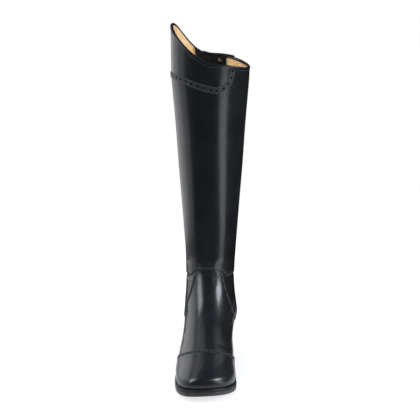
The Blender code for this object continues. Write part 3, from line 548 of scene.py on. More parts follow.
def punched_strip(name, track, row, replaced=None):
    """Leather strip with pinked edges and a row of holes, on a dark strip of painted shade for the holes'
    shadow.
    """
    cells = int(track.length / row.cell)
    step = track.length / cells
    share = np.arange(CELL_SIDE) / CELL_SIDE
    pinked = row.half - PINK_TOOTH * (np.arange(CELL_SIDE) % 2)
    ends = np.full(CELL_SIDE, step / 2)
    sides = [(step * (share - 0.5), -pinked), (ends, row.half * (2 * share - 1)),
             (step * (0.5 - share), pinked), (-ends, row.half * (1 - 2 * share))]
    edge = np.concatenate([np.stack(side, axis=1) for side in sides])
    count = len(edge)
    turn = np.radians(360.0 * np.arange(count) / count + FIRST_CORNER_DEG)
    circle = np.stack([np.cos(turn), np.sin(turn)], axis=1)
    low, broken, high = row.layer.low, row.layer.high - BREAK_DOWN, row.layer.high
    places, faces = [], []
    for n in range(cells):
        radius = row.radii[n % len(row.radii)]
        loops = [(edge, low), (edge, broken), (edge * EDGE_BREAK, high),
                 (circle * (radius + HOLE_BREAK), high), (circle * radius, broken), (circle * radius, low)]
        for flat, off in loops:
            places.append(np.column_stack([(n + 0.5) * step + flat[:, 0], flat[:, 1], np.full(count, off)]))
        shell = grid_faces(len(loops), count, close_rows=True, close_columns=True)
        if 0 < n < cells - 1:
            shell = [face for face in shell if face[0] // CELL_SIDE not in JOINED_SIDES]
        base = n * len(loops) * count
        faces += [tuple(base + corner for corner in face) for face in shell]
    points = track.at(*np.concatenate(places).T)
    add_piece(name + "_punching", points, faces, "punched_calf", replaced, smooth_deg=40.0)
    # The strip under the holes is painted shade, dark for the shadow at their bottom
    s = np.linspace(0.0, track.length, SHADE_STRIP_STEPS)
    across = row.backing_half * np.array([-1.0, 0.0, 1.0])
    points = track.at(s[:, None], across, row.backing_off).reshape(-1, 3)
    add_piece(name + "_backing", points, grid_faces(len(s), len(across)), "hole_shadow")


def shader(name, colour, roughness, coat=0.0, coat_roughness=0.1, specular=0.5, metallic=0.0):
    finish = bpy.data.materials.new(name)
    finish.use_nodes = True
    values = {"Base Color": (*colour, 1.0), "Roughness": roughness, "Metallic": metallic,
              "Coat Weight": coat, "Coat Roughness": coat_roughness, "Specular IOR Level": specular}
    for entry, value in values.items():
        finish.node_tree.nodes["Principled BSDF"].inputs[entry].default_value = value
    return finish


def node(tree, kind, inputs=None, **settings):
    """New node with its input values by name and its settings."""
    made = tree.nodes.new("ShaderNode" + kind)
    for entry, value in (inputs or {}).items():
        made.inputs[entry].default_value = value
    for key, value in settings.items():
        setattr(made, key, value)
    return made


def link(tree, source, output, target, entry):
    tree.links.new(source.outputs[output], target.inputs[entry])


def place(tree, texture, stretch=(1.0, 1.0, 1.0)):
    """Lay a texture out in the boot's own metres, stretched."""
    mapping = node(tree, "Mapping", {"Scale": stretch})
    link(tree, node(tree, "TexCoord"), "Object", mapping, "Vector")
    link(tree, mapping, "Vector", texture, "Vector")


# Drift is the two shades between which a colour moves, and Gloss the spread of its roughness. Each
# Relief row has its scale, its depth in metres and its texture: noise, cells, or waves in a direction
Drift = namedtuple("Drift", "dark light scale low high", defaults=(0.35, 0.65))
Gloss = namedtuple("Gloss", "scale low high")
Relief = namedtuple("Relief", "scale depth strength texture tall", defaults=("noise", 1))
NOISE_DETAIL = 4.0
DRIFT_DETAIL = 5.0
DRIFT_ROUGHNESS = 0.6
GLOSS_FROM = (0.3, 0.7)


def drifting_colour(tree, drift):
    noise = node(tree, "TexNoise",
                 {"Scale": drift.scale, "Detail": DRIFT_DETAIL, "Roughness": DRIFT_ROUGHNESS})
    place(tree, noise)
    ramp = node(tree, "ValToRGB")
    ends = ((drift.low, drift.dark), (drift.high, drift.light))
    for element, (position, shade) in zip(ramp.color_ramp.elements, ends):
        element.position = position
        element.color = (*shade, 1.0)
    link(tree, noise, "Fac", ramp, "Fac")
    link(tree, ramp, "Color", tree.nodes["Principled BSDF"], "Base Color")


def uneven_gloss(tree, gloss):
    noise = node(tree, "TexNoise", {"Scale": gloss.scale, "Detail": NOISE_DETAIL})
    place(tree, noise)
    spread = node(tree, "MapRange", {"From Min": GLOSS_FROM[0], "From Max": GLOSS_FROM[1],
                                     "To Min": gloss.low, "To Max": gloss.high})
    link(tree, noise, "Fac", spread, "Value")
    link(tree, spread, "Result", tree.nodes["Principled BSDF"], "Roughness")


def bumps(tree, rows):
    """Surface relief, each row laid over the one before."""
    before = None
    for row in rows:
        output = "Fac"
        if row.texture == "noise":
            texture = node(tree, "TexNoise", {"Scale": row.scale, "Detail": NOISE_DETAIL})
        elif row.texture == "cells":
            texture = node(tree, "TexVoronoi", {"Scale": row.scale}, feature="DISTANCE_TO_EDGE")
            output = "Distance"
        else:
            texture = node(tree, "TexWave", {"Scale": row.scale}, bands_direction=row.texture)
        place(tree, texture, (1.0, 1.0, row.tall))
        bump = node(tree, "Bump", {"Distance": row.depth, "Strength": row.strength})
        link(tree, texture, output, bump, "Height")
        if before:
            link(tree, before, "Normal", bump, "Normal")
        before = bump
    link(tree, before, "Normal", tree.nodes["Principled BSDF"], "Normal")


def make_finish(name, colour, roughness, relief_rows, drift=None, gloss=None, **more):
    finish = shader(name, colour, roughness, **more)
    if drift:
        drifting_colour(finish.node_tree, drift)
    if gloss:
        uneven_gloss(finish.node_tree, gloss)
    bumps(finish.node_tree, relief_rows)
    return finish


FINISH = {finish.name: finish for finish in (
    # The polished panels
    make_finish("black_calf", (0.0085, 0.0090, 0.0112), 0.30,
                [Relief(60, 0.0006, 0.06), Relief(1500, 0.0001, 0.10, "cells"),
                 Relief(900, 0.0001, 0.12)],
                Drift((0.0070, 0.0074, 0.0095), (0.0105, 0.0111, 0.0136), 28), Gloss(45, 0.26, 0.34),
                coat=0.3, coat_roughness=0.16, specular=0.4),
    # The punched strips: rougher and greyer than the polished panels, so that the holes read
    make_finish("punched_calf", (0.026, 0.027, 0.031), 0.42, [Relief(900, 0.00015, 0.2)],
                Drift((0.018, 0.019, 0.022), (0.034, 0.036, 0.041), 160), Gloss(200, 0.36, 0.48),
                coat=0.15, coat_roughness=0.3),
    # The bottom of the punched holes: painted shade, a near-black dull strip for the shadow in them
    make_finish("hole_shadow", (0.0012, 0.0012, 0.0014), 0.9, [Relief(900, 0.0001, 0.2)],
                specular=0.05),
    # The welt, duller than the face of the leather
    make_finish("black_edge", (0.012, 0.012, 0.013), 0.45, [Relief(700, 0.0002, 0.25)],
                gloss=Gloss(120, 0.38, 0.52), specular=0.35),
    make_finish("tan_lining", (0.85, 0.60, 0.32), 0.55,
                [Relief(420, 0.0003, 0.25), Relief(1100, 0.00015, 0.25, "cells")],
                Drift((0.74, 0.47, 0.21), (0.95, 0.72, 0.45), 70, 0.3, 0.7), specular=0.3),
    make_finish("black_elastic", (0.010, 0.010, 0.012), 0.85,
                [Relief(260, 0.0004, 0.7, "Z"), Relief(420, 0.0002, 0.5, "X")], specular=0.2),
    make_finish("woven_tape", (0.014, 0.014, 0.016), 0.8, [Relief(500, 0.0002, 0.5, "DIAGONAL")],
                specular=0.25),
    make_finish("black_teeth", (0.018, 0.018, 0.02), 0.35, [Relief(900, 0.0001, 0.2)]),
    make_finish("dark_metal", (0.22, 0.22, 0.23), 0.22, [Relief(700, 0.0001, 0.15)],
                gloss=Gloss(220, 0.16, 0.30), metallic=1),
    # The waxed edge of the sole, with the fine lines of its layers
    make_finish("sole_edge", (0.026, 0.026, 0.028), 0.34,
                [Relief(95, 0.0006, 0.6, "Z"), Relief(90, 0.0003, 0.35, tall=12),
                 Relief(600, 0.00015, 0.2)],
                Drift((0.018, 0.018, 0.020), (0.040, 0.039, 0.040), 90), Gloss(160, 0.26, 0.46),
                coat=0.3, coat_roughness=0.2),
    make_finish("tread_rubber", (0.020, 0.020, 0.020), 0.6, [Relief(800, 0.0002, 0.35)],
                specular=0.35),
    # The thread: pale grey, partly its own shade and partly painted highlight for the light that the raised
    # rows of stitches catch
    make_finish("thread", (0.10, 0.103, 0.115), 0.4, [Relief(900, 0.0001, 0.5, "DIAGONAL")]),
    # The heel's lifts, dyed black, with fine layer lines
    make_finish("stacked_leather", (0.013, 0.013, 0.014), 0.3,
                [Relief(60, 0.0003, 0.4, tall=25)],
                Drift((0.009, 0.009, 0.010), (0.022, 0.020, 0.018), 60), coat=0.4, coat_roughness=0.15),
)}


# The lines of points up the panels that wrap the leg, by level, and how many run round it
UNDER_SLOT = SLOT_FOOT_LEVEL - 0.0001
SHAFT_LEVELS = np.concatenate([
    [1.0, 1.0015, 1.005, 1.011, 1.018, UNDER_SLOT], np.linspace(SLOT_FOOT_LEVEL, 1.4, 46),
    np.linspace(1.415, 2.0, 36), np.linspace(2.03, 2.96, 30), [2.985, 2.995, 3.0]])
SHAFT_COLUMNS = 190
SHAFT_HEM = (0.75, 0.25)  # how far the shaft's two lowest lines sink
VAMP_LEVELS = np.linspace(0.0, 1.06, 120)
VAMP_COLUMNS = 240
LINING_LEVELS = np.concatenate([
    np.linspace(0.0, 0.98, 40), [1.0, UNDER_SLOT], np.linspace(SLOT_FOOT_LEVEL, 2.0, 50),
    np.linspace(2.05, 2.99, 16)])
LINING_COLUMNS = 100
LINING_BACK_OFF = 1.6  # how far the lining stops short of the back opening
QUARTER_LEVELS = edge_steps(0.015, 0.962, 60, 0.012)
QUARTER_COLUMNS = 110
QUARTER_MARGIN = 0.005
QUARTER_SIDE_DEG = 80.0  # where the quarter's front edge is read
SLOT_MARGIN = 0.006
SLOT_ROUNDS = 4
SEAM_HALF = 0.05  # half the gap at the back seam below the opening


def slot_edge(levels, side, back_off=0.0):
    """Angles of the back opening's edge, on its outer side (-1) or its inner side (1)."""
    angle = np.full(levels.shape, 180.0)
    for _ in range(SLOT_ROUNDS):
        h = height(levels, angle)
        half = np.where(h >= SLOT_FOOT_H - 0.01, slot_half(h) + back_off, SEAM_HALF)
        angle = angle_at(h, side * half)
    return angle


def sided_grid(levels, count, back_off=0.0):
    """Heights and angles of a panel that is open along the back, back_off short of the opening."""
    start, end = slot_edge(levels, -1, back_off), slot_edge(levels, 1, back_off) - 360.0
    angle = between(start, end, count, SLOT_MARGIN)
    return height(levels[:, None], angle), angle


def build_shaft():
    h, angle = sided_grid(SHAFT_LEVELS, SHAFT_COLUMNS)
    high = rolled(h.shape, SHAFT_SKIN, rows=False) + relief(h, angle)
    for k, sink in enumerate(SHAFT_HEM):
        high[k, :] -= sink * (SHAFT_SKIN.high - SHAFT_SKIN.low)
    skins("shaft", h, angle, high, SHAFT_SKIN.low + relief(h, angle), replaced="upper")


def build_vamp():
    angle = 360.0 * np.arange(VAMP_COLUMNS) / VAMP_COLUMNS
    h = height(VAMP_LEVELS[:, None], angle)
    skins("vamp", h, angle, VAMP_SKIN.high + relief(h, angle), VAMP_SKIN.low, wrap=True)


def build_lining():
    h, angle = sided_grid(LINING_LEVELS, LINING_COLUMNS, LINING_BACK_OFF)
    skins("lining", h, angle, LINING.high, LINING.low, "tan_lining")


def build_quarter():
    side_h = height(QUARTER_LEVELS, QUARTER_SIDE_DEG)
    front_y = QUARTER_FRONT(side_h)
    start, end = angle_at_y(side_h, front_y, True), angle_at_y(side_h, front_y, False)
    angle = between(start, end, QUARTER_COLUMNS, QUARTER_MARGIN)
    h = height(QUARTER_LEVELS[:, None], angle)
    high = rolled(h.shape, OVERLAY) + relief(h, angle)
    skins("quarter_panel", h, angle, high, OVERLAY.low, replaced="quarter")
    return h, angle


CAP_FOOT_H = FEATHER_H + 0.4
CAP_LEAST_RISE = 0.8
CAP_ROWS = 60
CAP_COLUMNS = 130
CAP_MARGIN = 0.01
CAP_PUNCHED_DEG = CAP_DEG - 3.0
CAP_EDGE_POINTS = 260
CAP_PUNCHING_ASIDE = 2.3  # how far behind the cap's edge its row of holes runs


def build_toe_cap():
    angles = edge_steps(-CAP_DEG, CAP_DEG, CAP_COLUMNS, EDGE_MARGIN)
    top = np.maximum(cap_edge_h(angles), CAP_FOOT_H + CAP_LEAST_RISE)
    share = edge_steps(0.0, 1.0, CAP_ROWS, CAP_MARGIN)
    h = CAP_FOOT_H + (top - CAP_FOOT_H)[None, :] * share[:, None]
    angle = np.broadcast_to(angles, h.shape)
    high = rolled(h.shape, OVERLAY, columns=False)
    skins("toe_cap_panel", h, angle, high, OVERLAY.low, replaced="toe_cap")
    edge_angles = np.linspace(CAP_PUNCHED_DEG, -CAP_PUNCHED_DEG, CAP_EDGE_POINTS)
    edge = Track(cap_edge_h(edge_angles), edge_angles, OVERLAY.high)
    punched_strip("toe_cap", edge.shifted(CAP_PUNCHING_ASIDE), CAP_PUNCHING)
    return edge


BAND_POINTS = 420


def build_collar_band():
    knots = np.arange(len(COLLAR_BAND))
    t = np.linspace(0.0, knots[-1], BAND_POINTS)
    angle = Column(knots, [row.outer_deg for row in COLLAR_BAND])(t)
    level_z = Column(knots, [row.z for row in COLLAR_BAND])(t)
    track = Track(level_z, angle, SHAFT_SKIN.high)
    punched_strip("collar_band", track, BAND_PUNCHING, "collar_band")
    return track


# The strip folded over the collar's edge: its thickness, how far it reaches down and up, and where
# its ends lie beside the back seam, over the tops of the gores and under the tab
BINDING_THICK = 0.55
BINDING_DOWN = 2.8
BINDING_UP = 0.9
BINDING_END_X = 14.8
BINDING_CLEAR = 0.1
BINDING_BOW_FROM = -0.6
BINDING_BREAK = 0.5
BINDING_BREAK_SHARE = 0.7
BINDING_BOW_POINTS = 13
BINDING_COLUMNS = 260


def round_collar(end_x, count):
    """Angles all round the collar, from end_x beside the back seam to the same on its other side."""
    top = collar_h(180.0)
    return np.linspace(angle_at(top, -end_x), angle_at(top, end_x) - 360.0, count)


def binding_section():
    """Places above the upper's face and above the collar's edge, round the folded strip."""
    outside, inside = SHAFT_STEP + BINDING_CLEAR, -WALL - BINDING_CLEAR
    turn = np.linspace(0.0, math.pi, BINDING_BOW_POINTS)
    middle, half = (outside + inside) / 2, (outside - inside) / 2 + BINDING_THICK
    bow = BINDING_BOW_FROM + (BINDING_UP - BINDING_BOW_FROM) * np.sin(turn)
    broken = BINDING_THICK * BINDING_BREAK_SHARE
    foot, above_foot = -BINDING_DOWN, BINDING_BREAK - BINDING_DOWN
    first = [(outside, foot), (outside + broken, foot), (outside + BINDING_THICK, above_foot)]
    over = list(zip(middle + half * np.cos(turn), bow))
    last = [(inside - BINDING_THICK, above_foot), (inside - broken, foot), (inside, foot),
            (inside, BINDING_CLEAR), (outside, BINDING_CLEAR)]
    return np.array(first + over + last)


def build_binding():
    angle = round_collar(BINDING_END_X, BINDING_COLUMNS)
    off, up = binding_section().T
    points = upper_point(collar_h(angle)[:, None] + up, angle[:, None], off)
    count = len(off)
    faces = grid_faces(len(angle), count, close_columns=True)
    faces += [tuple(reversed(range(count))), tuple((len(angle) - 1) * count + j for j in range(count))]
    add_piece("binding", points.reshape(-1, 3), faces, replaced="collar_binding")


# Panels near the back seam: where each one's foot is, how far its top ends below the collar's at
# the seam, its lines of points up and across, and how far its top then stands above the collar
BackPanel = namedtuple("BackPanel", "name replaced layer finish slot foot_h below_top rows columns top_off")
BACK_PANELS = [BackPanel(*row) for row in (
    ("zip_tape_weave", "zip_tape", TAPE, "woven_tape", "zip_black",
              SLOT_FOOT_H + 0.4, 1.6, 90, 14, -1),
    ("elastic_gore_outer", "gore_outer", GORE, "black_elastic", "elastic_black",
              250, 1.6, 60, 14, -0.6),
    ("elastic_gore_inner", "gore_inner", GORE, "black_elastic", "elastic_black",
              250, 1.6, 60, 14, -0.6),
    ("zip_guard_flap", "zip_guard", GUARD, "black_elastic", "elastic_black",
              86, 5, 90, 30, -0.9),
    ("snap_tab_leather", "snap_tab", TAB, "black_calf", "upper_leather",
              457, -2.4, 24, 40, 2.4),
)]
UNDER_SHAFT = 1.3  # how far the tape and the gores run on under the shaft
GORE_SEAM_GAP = 0.05
BACK_MARGIN = 0.04
GUARD_MARGIN = 4.0
GUARD_WING = 8.0  # how much further the guard's outer edge reaches at its top
GUARD_WING_FROM_H = 400.0
TAB_OUTER_X = -15.5
TAB_INNER_X = 32.5


def back_edges(h, top):
    """The two edges of each back panel, in millimetres to the inner side of the back seam."""
    flat = np.ones(h.shape)
    tape = (SLOT_HALF + UNDER_SHAFT) * flat
    near, far = (SLOT_HALF + GORE_SEAM_GAP) * flat, slot_half(h) + UNDER_SHAFT
    guard = slot_half(h) + GUARD_MARGIN
    wing = GUARD_WING * ease(GUARD_WING_FROM_H, top, h)
    return {"zip_tape": (-tape, tape), "gore_outer": (-far, -near), "gore_inner": (near, far),
            "zip_guard": (-guard - wing, guard), "snap_tab": (TAB_OUTER_X * flat, TAB_INNER_X * flat)}


def build_back():
    top = float(collar_h(180.0))
    for row in BACK_PANELS:
        h = edge_steps(row.foot_h, top - row.below_top, row.rows, EDGE_MARGIN)
        low_x, high_x = back_edges(h, top)[row.replaced]
        x = between(low_x, high_x, row.columns, BACK_MARGIN)
        flat = np.broadcast_to(h[:, None], x.shape)
        angle = angle_at(flat, x)
        rise = collar_h(angle) + row.top_off - h[-1]
        flat = flat + rise * ease(h[0], h[-1], h)[:, None]
        skins(row.name, flat, angle, rolled(flat.shape, row.layer), row.layer.low, row.finish,
              row.replaced)


# The zip's teeth, which reach across the seam from either side by turns
TOOTH_PITCH = 1.5
TOOTH_REACH = 1.9
TOOTH_HIGH = 1.7
TOOTH_ASIDE = 0.3
TEETH_FOOT_RISE = 3.2
TEETH_STEPS = 300
TOOTH_CORNERS = np.array([  # along the zip in millimetres, across as a share of reach, and up
    (-0.5, -0.3, 0.05), (0.5, -0.3, 0.05), (0.5, 1.0, 0.05), (-0.5, 1.0, 0.05),
    (-0.36, -0.12, 1.0), (0.36, -0.12, 1.0), (0.36, 0.84, 1.0), (-0.36, 0.84, 1.0)])
BOX_FACES = [(0, 3, 2, 1), (4, 5, 6, 7), (0, 1, 5, 4), (1, 2, 6, 5), (2, 3, 7, 6), (3, 0, 4, 7)]


def build_teeth():
    seam_h = np.linspace(SLOT_FOOT_H + TEETH_FOOT_RISE, COIL_TOP_H, TEETH_STEPS)
    track = Track(seam_h, np.full(TEETH_STEPS, 180.0), TAPE.high)
    count = int(track.length / TOOTH_PITCH)
    places = TOOTH_PITCH * (np.arange(count) + 0.5)
    side = np.where(np.arange(count) % 2 == 0, 1.0, -1.0)
    along, across, up = TOOTH_CORNERS.T
    points = track.at(places[:, None] + along, side[:, None] * (across * TOOTH_REACH + TOOTH_ASIDE),
                      up * TOOTH_HIGH).reshape(-1, 3)
    add_piece("zip_teeth_row", points, repeated(BOX_FACES, count, len(TOOTH_CORNERS)), "black_teeth",
              "zip_teeth", smooth_deg=30)


# Edges of the sole's layers: how far in each line lies, its share of the way from the layer's
# bottom to its top, and how far it stands above that
EdgeRow = namedtuple("EdgeRow", "inset share up", defaults=(0.0,))
OUTSOLE_EDGE = [EdgeRow(*row) for row in (
    (2.2, 0), (1.2, 0.03), (0.7, 0.12), (0.45, 0.3), (0.4, 0.5),
    (0.5, 0.54), (0.95, 0.57), (0.95, 0.61), (0.45, 0.64),
    (0.3, 0.72), (0.32, 0.92), (0.8, 1),
)]
WELT_EDGE = [EdgeRow(*row) for row in (
    (0.7, 0), (0.15, 0.1), (0, 0.3), (0, 0.42), (0.35, 0.48),
    (0.35, 0.53), (0, 0.6), (0.05, 0.82), (0.5, 0.96), (1.1, 1),
)]
WELT_UNDER = 2.6
WELT_INNER_EDGE = [EdgeRow(WELT_UNDER, 1.0), EdgeRow(WELT_UNDER, 0.0)]
INSOLE_EDGE = [EdgeRow(*row) for row in (
    (WELT_UNDER + 0.3, 0), (WELT_UNDER + 0.3, 1, 0.6),
    (WELT_UNDER + 0.6, 1, 1.05), (WELT_UNDER + 1.3, 1, 1.2),
)]
WELT_CLEAR = 0.08
SOLE_POINTS = 220


def outline_ring(row, low, high, feather=False):
    """Ring round the sole's plan, or round the upper's lower edge, in metres."""
    angle = 360.0 * np.arange(SOLE_POINTS) / SOLE_POINTS
    outer = angle <= 180.0
    if feather:
        edge = RINGS[0]
        length = edge.back_y - edge.front_y
        front, back = edge.front_y + row.inset, edge.back_y - row.inset
        front_round = (length * edge.front_end, edge.front_square)
        back_round = (length * edge.back_end, edge.back_square)
    else:
        front, back = TOE_Y + row.inset, HEEL_Y - row.inset
        front_round, back_round = TOE_ROUND, HEEL_ROUND
    y = (front + back) / 2 - (back - front) / 2 * np.cos(np.radians(angle))
    width = np.where(outer, SOLE_AT["outer"](y), SOLE_AT["inner"](y)) - row.inset
    if feather:
        width = width - SOLE_AT["feather"](y)
    width = width * closing((y - front) / front_round[0], front_round[1])
    width = width * closing((back - y) / back_round[0], back_round[1])
    z = low(y) + row.share * (high(y) - low(y)) + row.up
    x, y = foot_bend(np.where(outer, -width, width), y)
    return np.stack([x, y, z], axis=1) * MM


def ring_stack(name, rings, finish, replaced, capped=True, paired=0):
    """Piece through rings whose halves mirror each other, from one point at the front, or from a
    pair of them. Without caps its last ring meets its first."""
    count = len(rings[0])
    faces = grid_faces(len(rings), count, close_rows=not capped, close_columns=True)
    for base in (0, (len(rings) - 1) * count) if capped else ():
        for j in range(count // 2 - paired):
            corners = (j, j + 1, (count - j - 1 - paired) % count, (count - j - paired) % count)
            faces.append(tuple(base + corner for corner in dict.fromkeys(corners)))
    add_piece(name, np.concatenate(rings), faces, finish, replaced, smooth_deg=42.0)


def welt_bottom(y):
    return outsole_top(y) + WELT_CLEAR


def build_sole():
    rings = [outline_ring(row, SOLE_AT["lift"], outsole_top) for row in OUTSOLE_EDGE]
    ring_stack("outsole_edge", rings, "sole_edge", "outsole")
    rings = [outline_ring(row, welt_bottom, welt_top) for row in WELT_EDGE]
    rings += [outline_ring(row, welt_bottom, welt_top, feather=True) for row in WELT_INNER_EDGE]
    ring_stack("welt_strip", rings, "black_edge", "welt", capped=False)
    rings = [outline_ring(row, welt_bottom, welt_top, feather=True) for row in INSOLE_EDGE]
    ring_stack("insole_board", rings, "tan_lining", "insole")


HEEL_BREAST_Y = -29.0
BREAST_LEAN = 4.5
HEEL_INSET = 0.8
HEEL_TAPER = 1.6
TOP_LIFT = 6.0
LIFT_CLEAR = 0.1
HEEL_LIFTS = 3
HEEL_POINTS = 120
# Lines of a lift's edge: height above its bottom or below its top, and how far in each lies
LIFT_BOTTOM = ((0.0, 0.45), (0.3, 0.05), (0.8, 0.0))
LIFT_TOP = ((-0.8, 0.0), (-0.3, 0.05), (-0.02, 0.45))
TREAD_EDGE = ((0.0, 0.6), (0.25, 0.15), (0.8, 0.0), (TOP_LIFT - 0.6, 0.0), (TOP_LIFT, 0.4))


def heel_ring(z, row_inset):
    lower = 1 - z / SOLE[-1].lift
    inset = HEEL_INSET + HEEL_TAPER * lower + row_inset
    front, back = HEEL_BREAST_Y + BREAST_LEAN * lower, HEEL_Y - inset
    half = HEEL_POINTS // 2
    j = np.arange(HEEL_POINTS)
    outer = j < half
    k = np.where(outer, j, HEEL_POINTS - 1 - j)
    y = front + (back - front) * np.sin(math.pi / 2 * k / (half - 0.5))
    width = np.where(outer, SOLE_AT["outer"](y), SOLE_AT["inner"](y)) - inset
    width = width * closing((back - y) / HEEL_ROUND[0], HEEL_ROUND[1])
    return np.stack([np.where(outer, -width, width), y, np.full(HEEL_POINTS, z)], axis=1) * MM


def build_heel():
    bounds = np.linspace(TOP_LIFT + LIFT_CLEAR, SOLE[-1].lift - LIFT_CLEAR, HEEL_LIFTS + 1)
    rings = []
    for bottom, top in zip(bounds, bounds[1:]):
        rings += [heel_ring(bottom + up, inset) for up, inset in LIFT_BOTTOM]
        rings += [heel_ring(top + up, inset) for up, inset in LIFT_TOP]
    ring_stack("heel_lifts", rings, "stacked_leather", "heel_stack", paired=1)
    rings = [heel_ring(z, inset) for z, inset in TREAD_EDGE]
    ring_stack("heel_tread", rings, "tread_rubber", "heel_top_lift", paired=1)


# Stitches: how far each row runs beside the edge that it follows, in millimetres
QUARTER_STITCHES = (0.6, 2.4)
SHAFT_STITCHES = (2.0, 4.2)
CAP_STITCHES = (4.7, -0.9)
BAND_STITCHES = (-4.4, 4.4)
COLLAR_STITCH_DOWN = 4.4
COLLAR_STITCH_END_X = 20.0
SHAFT_STITCH_DEG = 178.0
STITCH_TRACK_POINTS = 500


def build_stitches(quarter, cap_edge, band):
    h, angle = quarter
    lines = []
    for column, outward in ((3, -1.0), (-4, 1.0)):
        track = Track(h[2:-2, column], angle[2:-2, column], OVERLAY.high)
        lines += [stitch_line(track, outward * aside) for aside in QUARTER_STITCHES]
    stitch_piece("quarter_stitches", lines)
    angle = np.linspace(SHAFT_STITCH_DEG, -SHAFT_STITCH_DEG, STITCH_TRACK_POINTS)
    stitch_piece("shaft_edge_stitches", [
        stitch_line(Track(shaft_edge_h(angle) + rise, angle, SHAFT_SKIN.high), 0.0)
        for rise in SHAFT_STITCHES])
    stitch_piece("toe_cap_stitches", [
        stitch_line(cap_edge, aside, pitch=1.9, length=1.4, radius=0.2) for aside in CAP_STITCHES])
    stitch_piece("collar_band_stitches", [
        stitch_line(band, aside, pitch=1.9, length=1.6, radius=0.42) for aside in BAND_STITCHES])
    angle = round_collar(COLLAR_STITCH_END_X, STITCH_TRACK_POINTS)
    track = Track(collar_h(angle) - COLLAR_STITCH_DOWN, angle, SHAFT_SKIN.high)
    stitch_piece("collar_stitches", [stitch_line(track, 0.0)])


# The snap, whose sections list radius and height from the rim to the middle
SNAP_H = 465.0
SNAP_X = 12.0
SNAP_CLEAR = 0.1
RIVET_CLEAR = 0.2
TURNED_SIDES = 48
SNAP_CAP = [(6.0, 0.0), (6.0, 0.5), (5.6, 0.95), (4.9, 1.1), (4.7, 1.0), (4.4, 1.15), (3.6, 1.75),
            (2.4, 2.2), (1.1, 2.38), (0.0, 2.4)]
SNAP_RIVET = [(3.2, 0.0), (3.2, 0.3), (2.9, 0.6), (2.2, 0.9), (1.3, 1.1), (0.6, 1.18), (0.0, 1.2)]


def turned(name, section, centre, outward, replaced):
    """Turned metal piece that stands on a place of the upper and points outward."""
    turn = 2 * math.pi * np.arange(TURNED_SIDES) / TURNED_SIDES
    points = [(r * math.cos(a), r * math.sin(a), up) for r, up in section[:-1] for a in turn]
    points.append((0.0, 0.0, section[-1][1]))
    rings = len(section) - 1
    tip, last = rings * TURNED_SIDES, (rings - 1) * TURNED_SIDES
    faces = [tuple(reversed(range(TURNED_SIDES)))]
    faces += grid_faces(rings, TURNED_SIDES, close_columns=True)
    faces += [(last + j, last + (j + 1) % TURNED_SIDES, tip) for j in range(TURNED_SIDES)]
    rotation = Vector(outward).to_track_quat("Z", "Y").to_matrix()
    placed = [rotation @ Vector(p) * MM + Vector(centre) for p in points]
    add_piece(name, placed, faces, "dark_metal", replaced, smooth_deg=35.0)


def build_snap():
    angle = float(angle_at(SNAP_H, SNAP_X))
    outward = upper_frame(np.array(SNAP_H), np.array(angle))[3]
    turned("snap_button", SNAP_CAP, upper_point(SNAP_H, angle, TAB.high + SNAP_CLEAR), outward, "snap_cap")
    turned("snap_back", SNAP_RIVET, upper_point(SNAP_H, angle, GUARD.low - RIVET_CLEAR), -outward,
           "snap_rivet")


def build_metal():
    for name in ("zip_slider", "zip_pull"):
        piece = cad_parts[name]
        piece.data.materials.clear()
        piece.data.materials.append(FINISH["dark_metal"])


FLOOR_GREY = 0.30
FLOOR_GLOW = 0.72  # how far the floor is lit up to the white of the backdrop
FLOOR_FADE = 2.5  # one over the distance, in metres, at which the floor's painted pool of light goes dim
FLOOR_RADIUS = 0.8
FLOOR_SIDES = 96
FLOOR_PLACE = (0.0, -0.1, -0.0002)
WORLD_GREY = 0.02
BACKDROP = 1.0


def camera_sees(tree, seen, others, end):
    """One shader for the camera's own rays and another for all the rest."""
    mix = node(tree, "MixShader")
    link(tree, node(tree, "LightPath"), "Is Camera Ray", mix, 0)
    link(tree, others, 0, mix, 1)
    link(tree, seen, 0, mix, 2)
    link(tree, mix, 0, tree.nodes[end], "Surface")


def pale_floor():
    """White floor to the camera. To the leather its colour is a painted pool of light, pale near the sole
    only and dim further out, so that the shaft's gloss stays dark."""
    finish = shader("pale_floor", (FLOOR_GREY,) * 3, 0.9, specular=0.0)
    tree = finish.node_tree
    pale = node(tree, "AddShader")
    link(tree, tree.nodes["Principled BSDF"], 0, pale, 0)
    link(tree, node(tree, "Emission", {"Strength": FLOOR_GLOW}), 0, pale, 1)
    # Painted pool of light: to the leather the floor's colour is pale round the boot and fades to dark
    # further out
    painted_light_pool = node(tree, "TexGradient", gradient_type="SPHERICAL")
    place(tree, painted_light_pool, (FLOOR_FADE,) * 3)
    dim = node(tree, "BsdfDiffuse")
    link(tree, painted_light_pool, "Color", dim, "Color")
    camera_sees(tree, pale, dim, "Material Output")
    return finish


def build_floor():
    bm = bmesh.new()
    bmesh.ops.create_circle(bm, cap_ends=True, segments=FLOOR_SIDES, radius=FLOOR_RADIUS)
    mesh = bpy.data.meshes.new("floor")
    bm.to_mesh(mesh)
    bm.free()
    floor = add_object("floor", mesh)
    floor.location = FLOOR_PLACE
    mesh.materials.append(pale_floor())


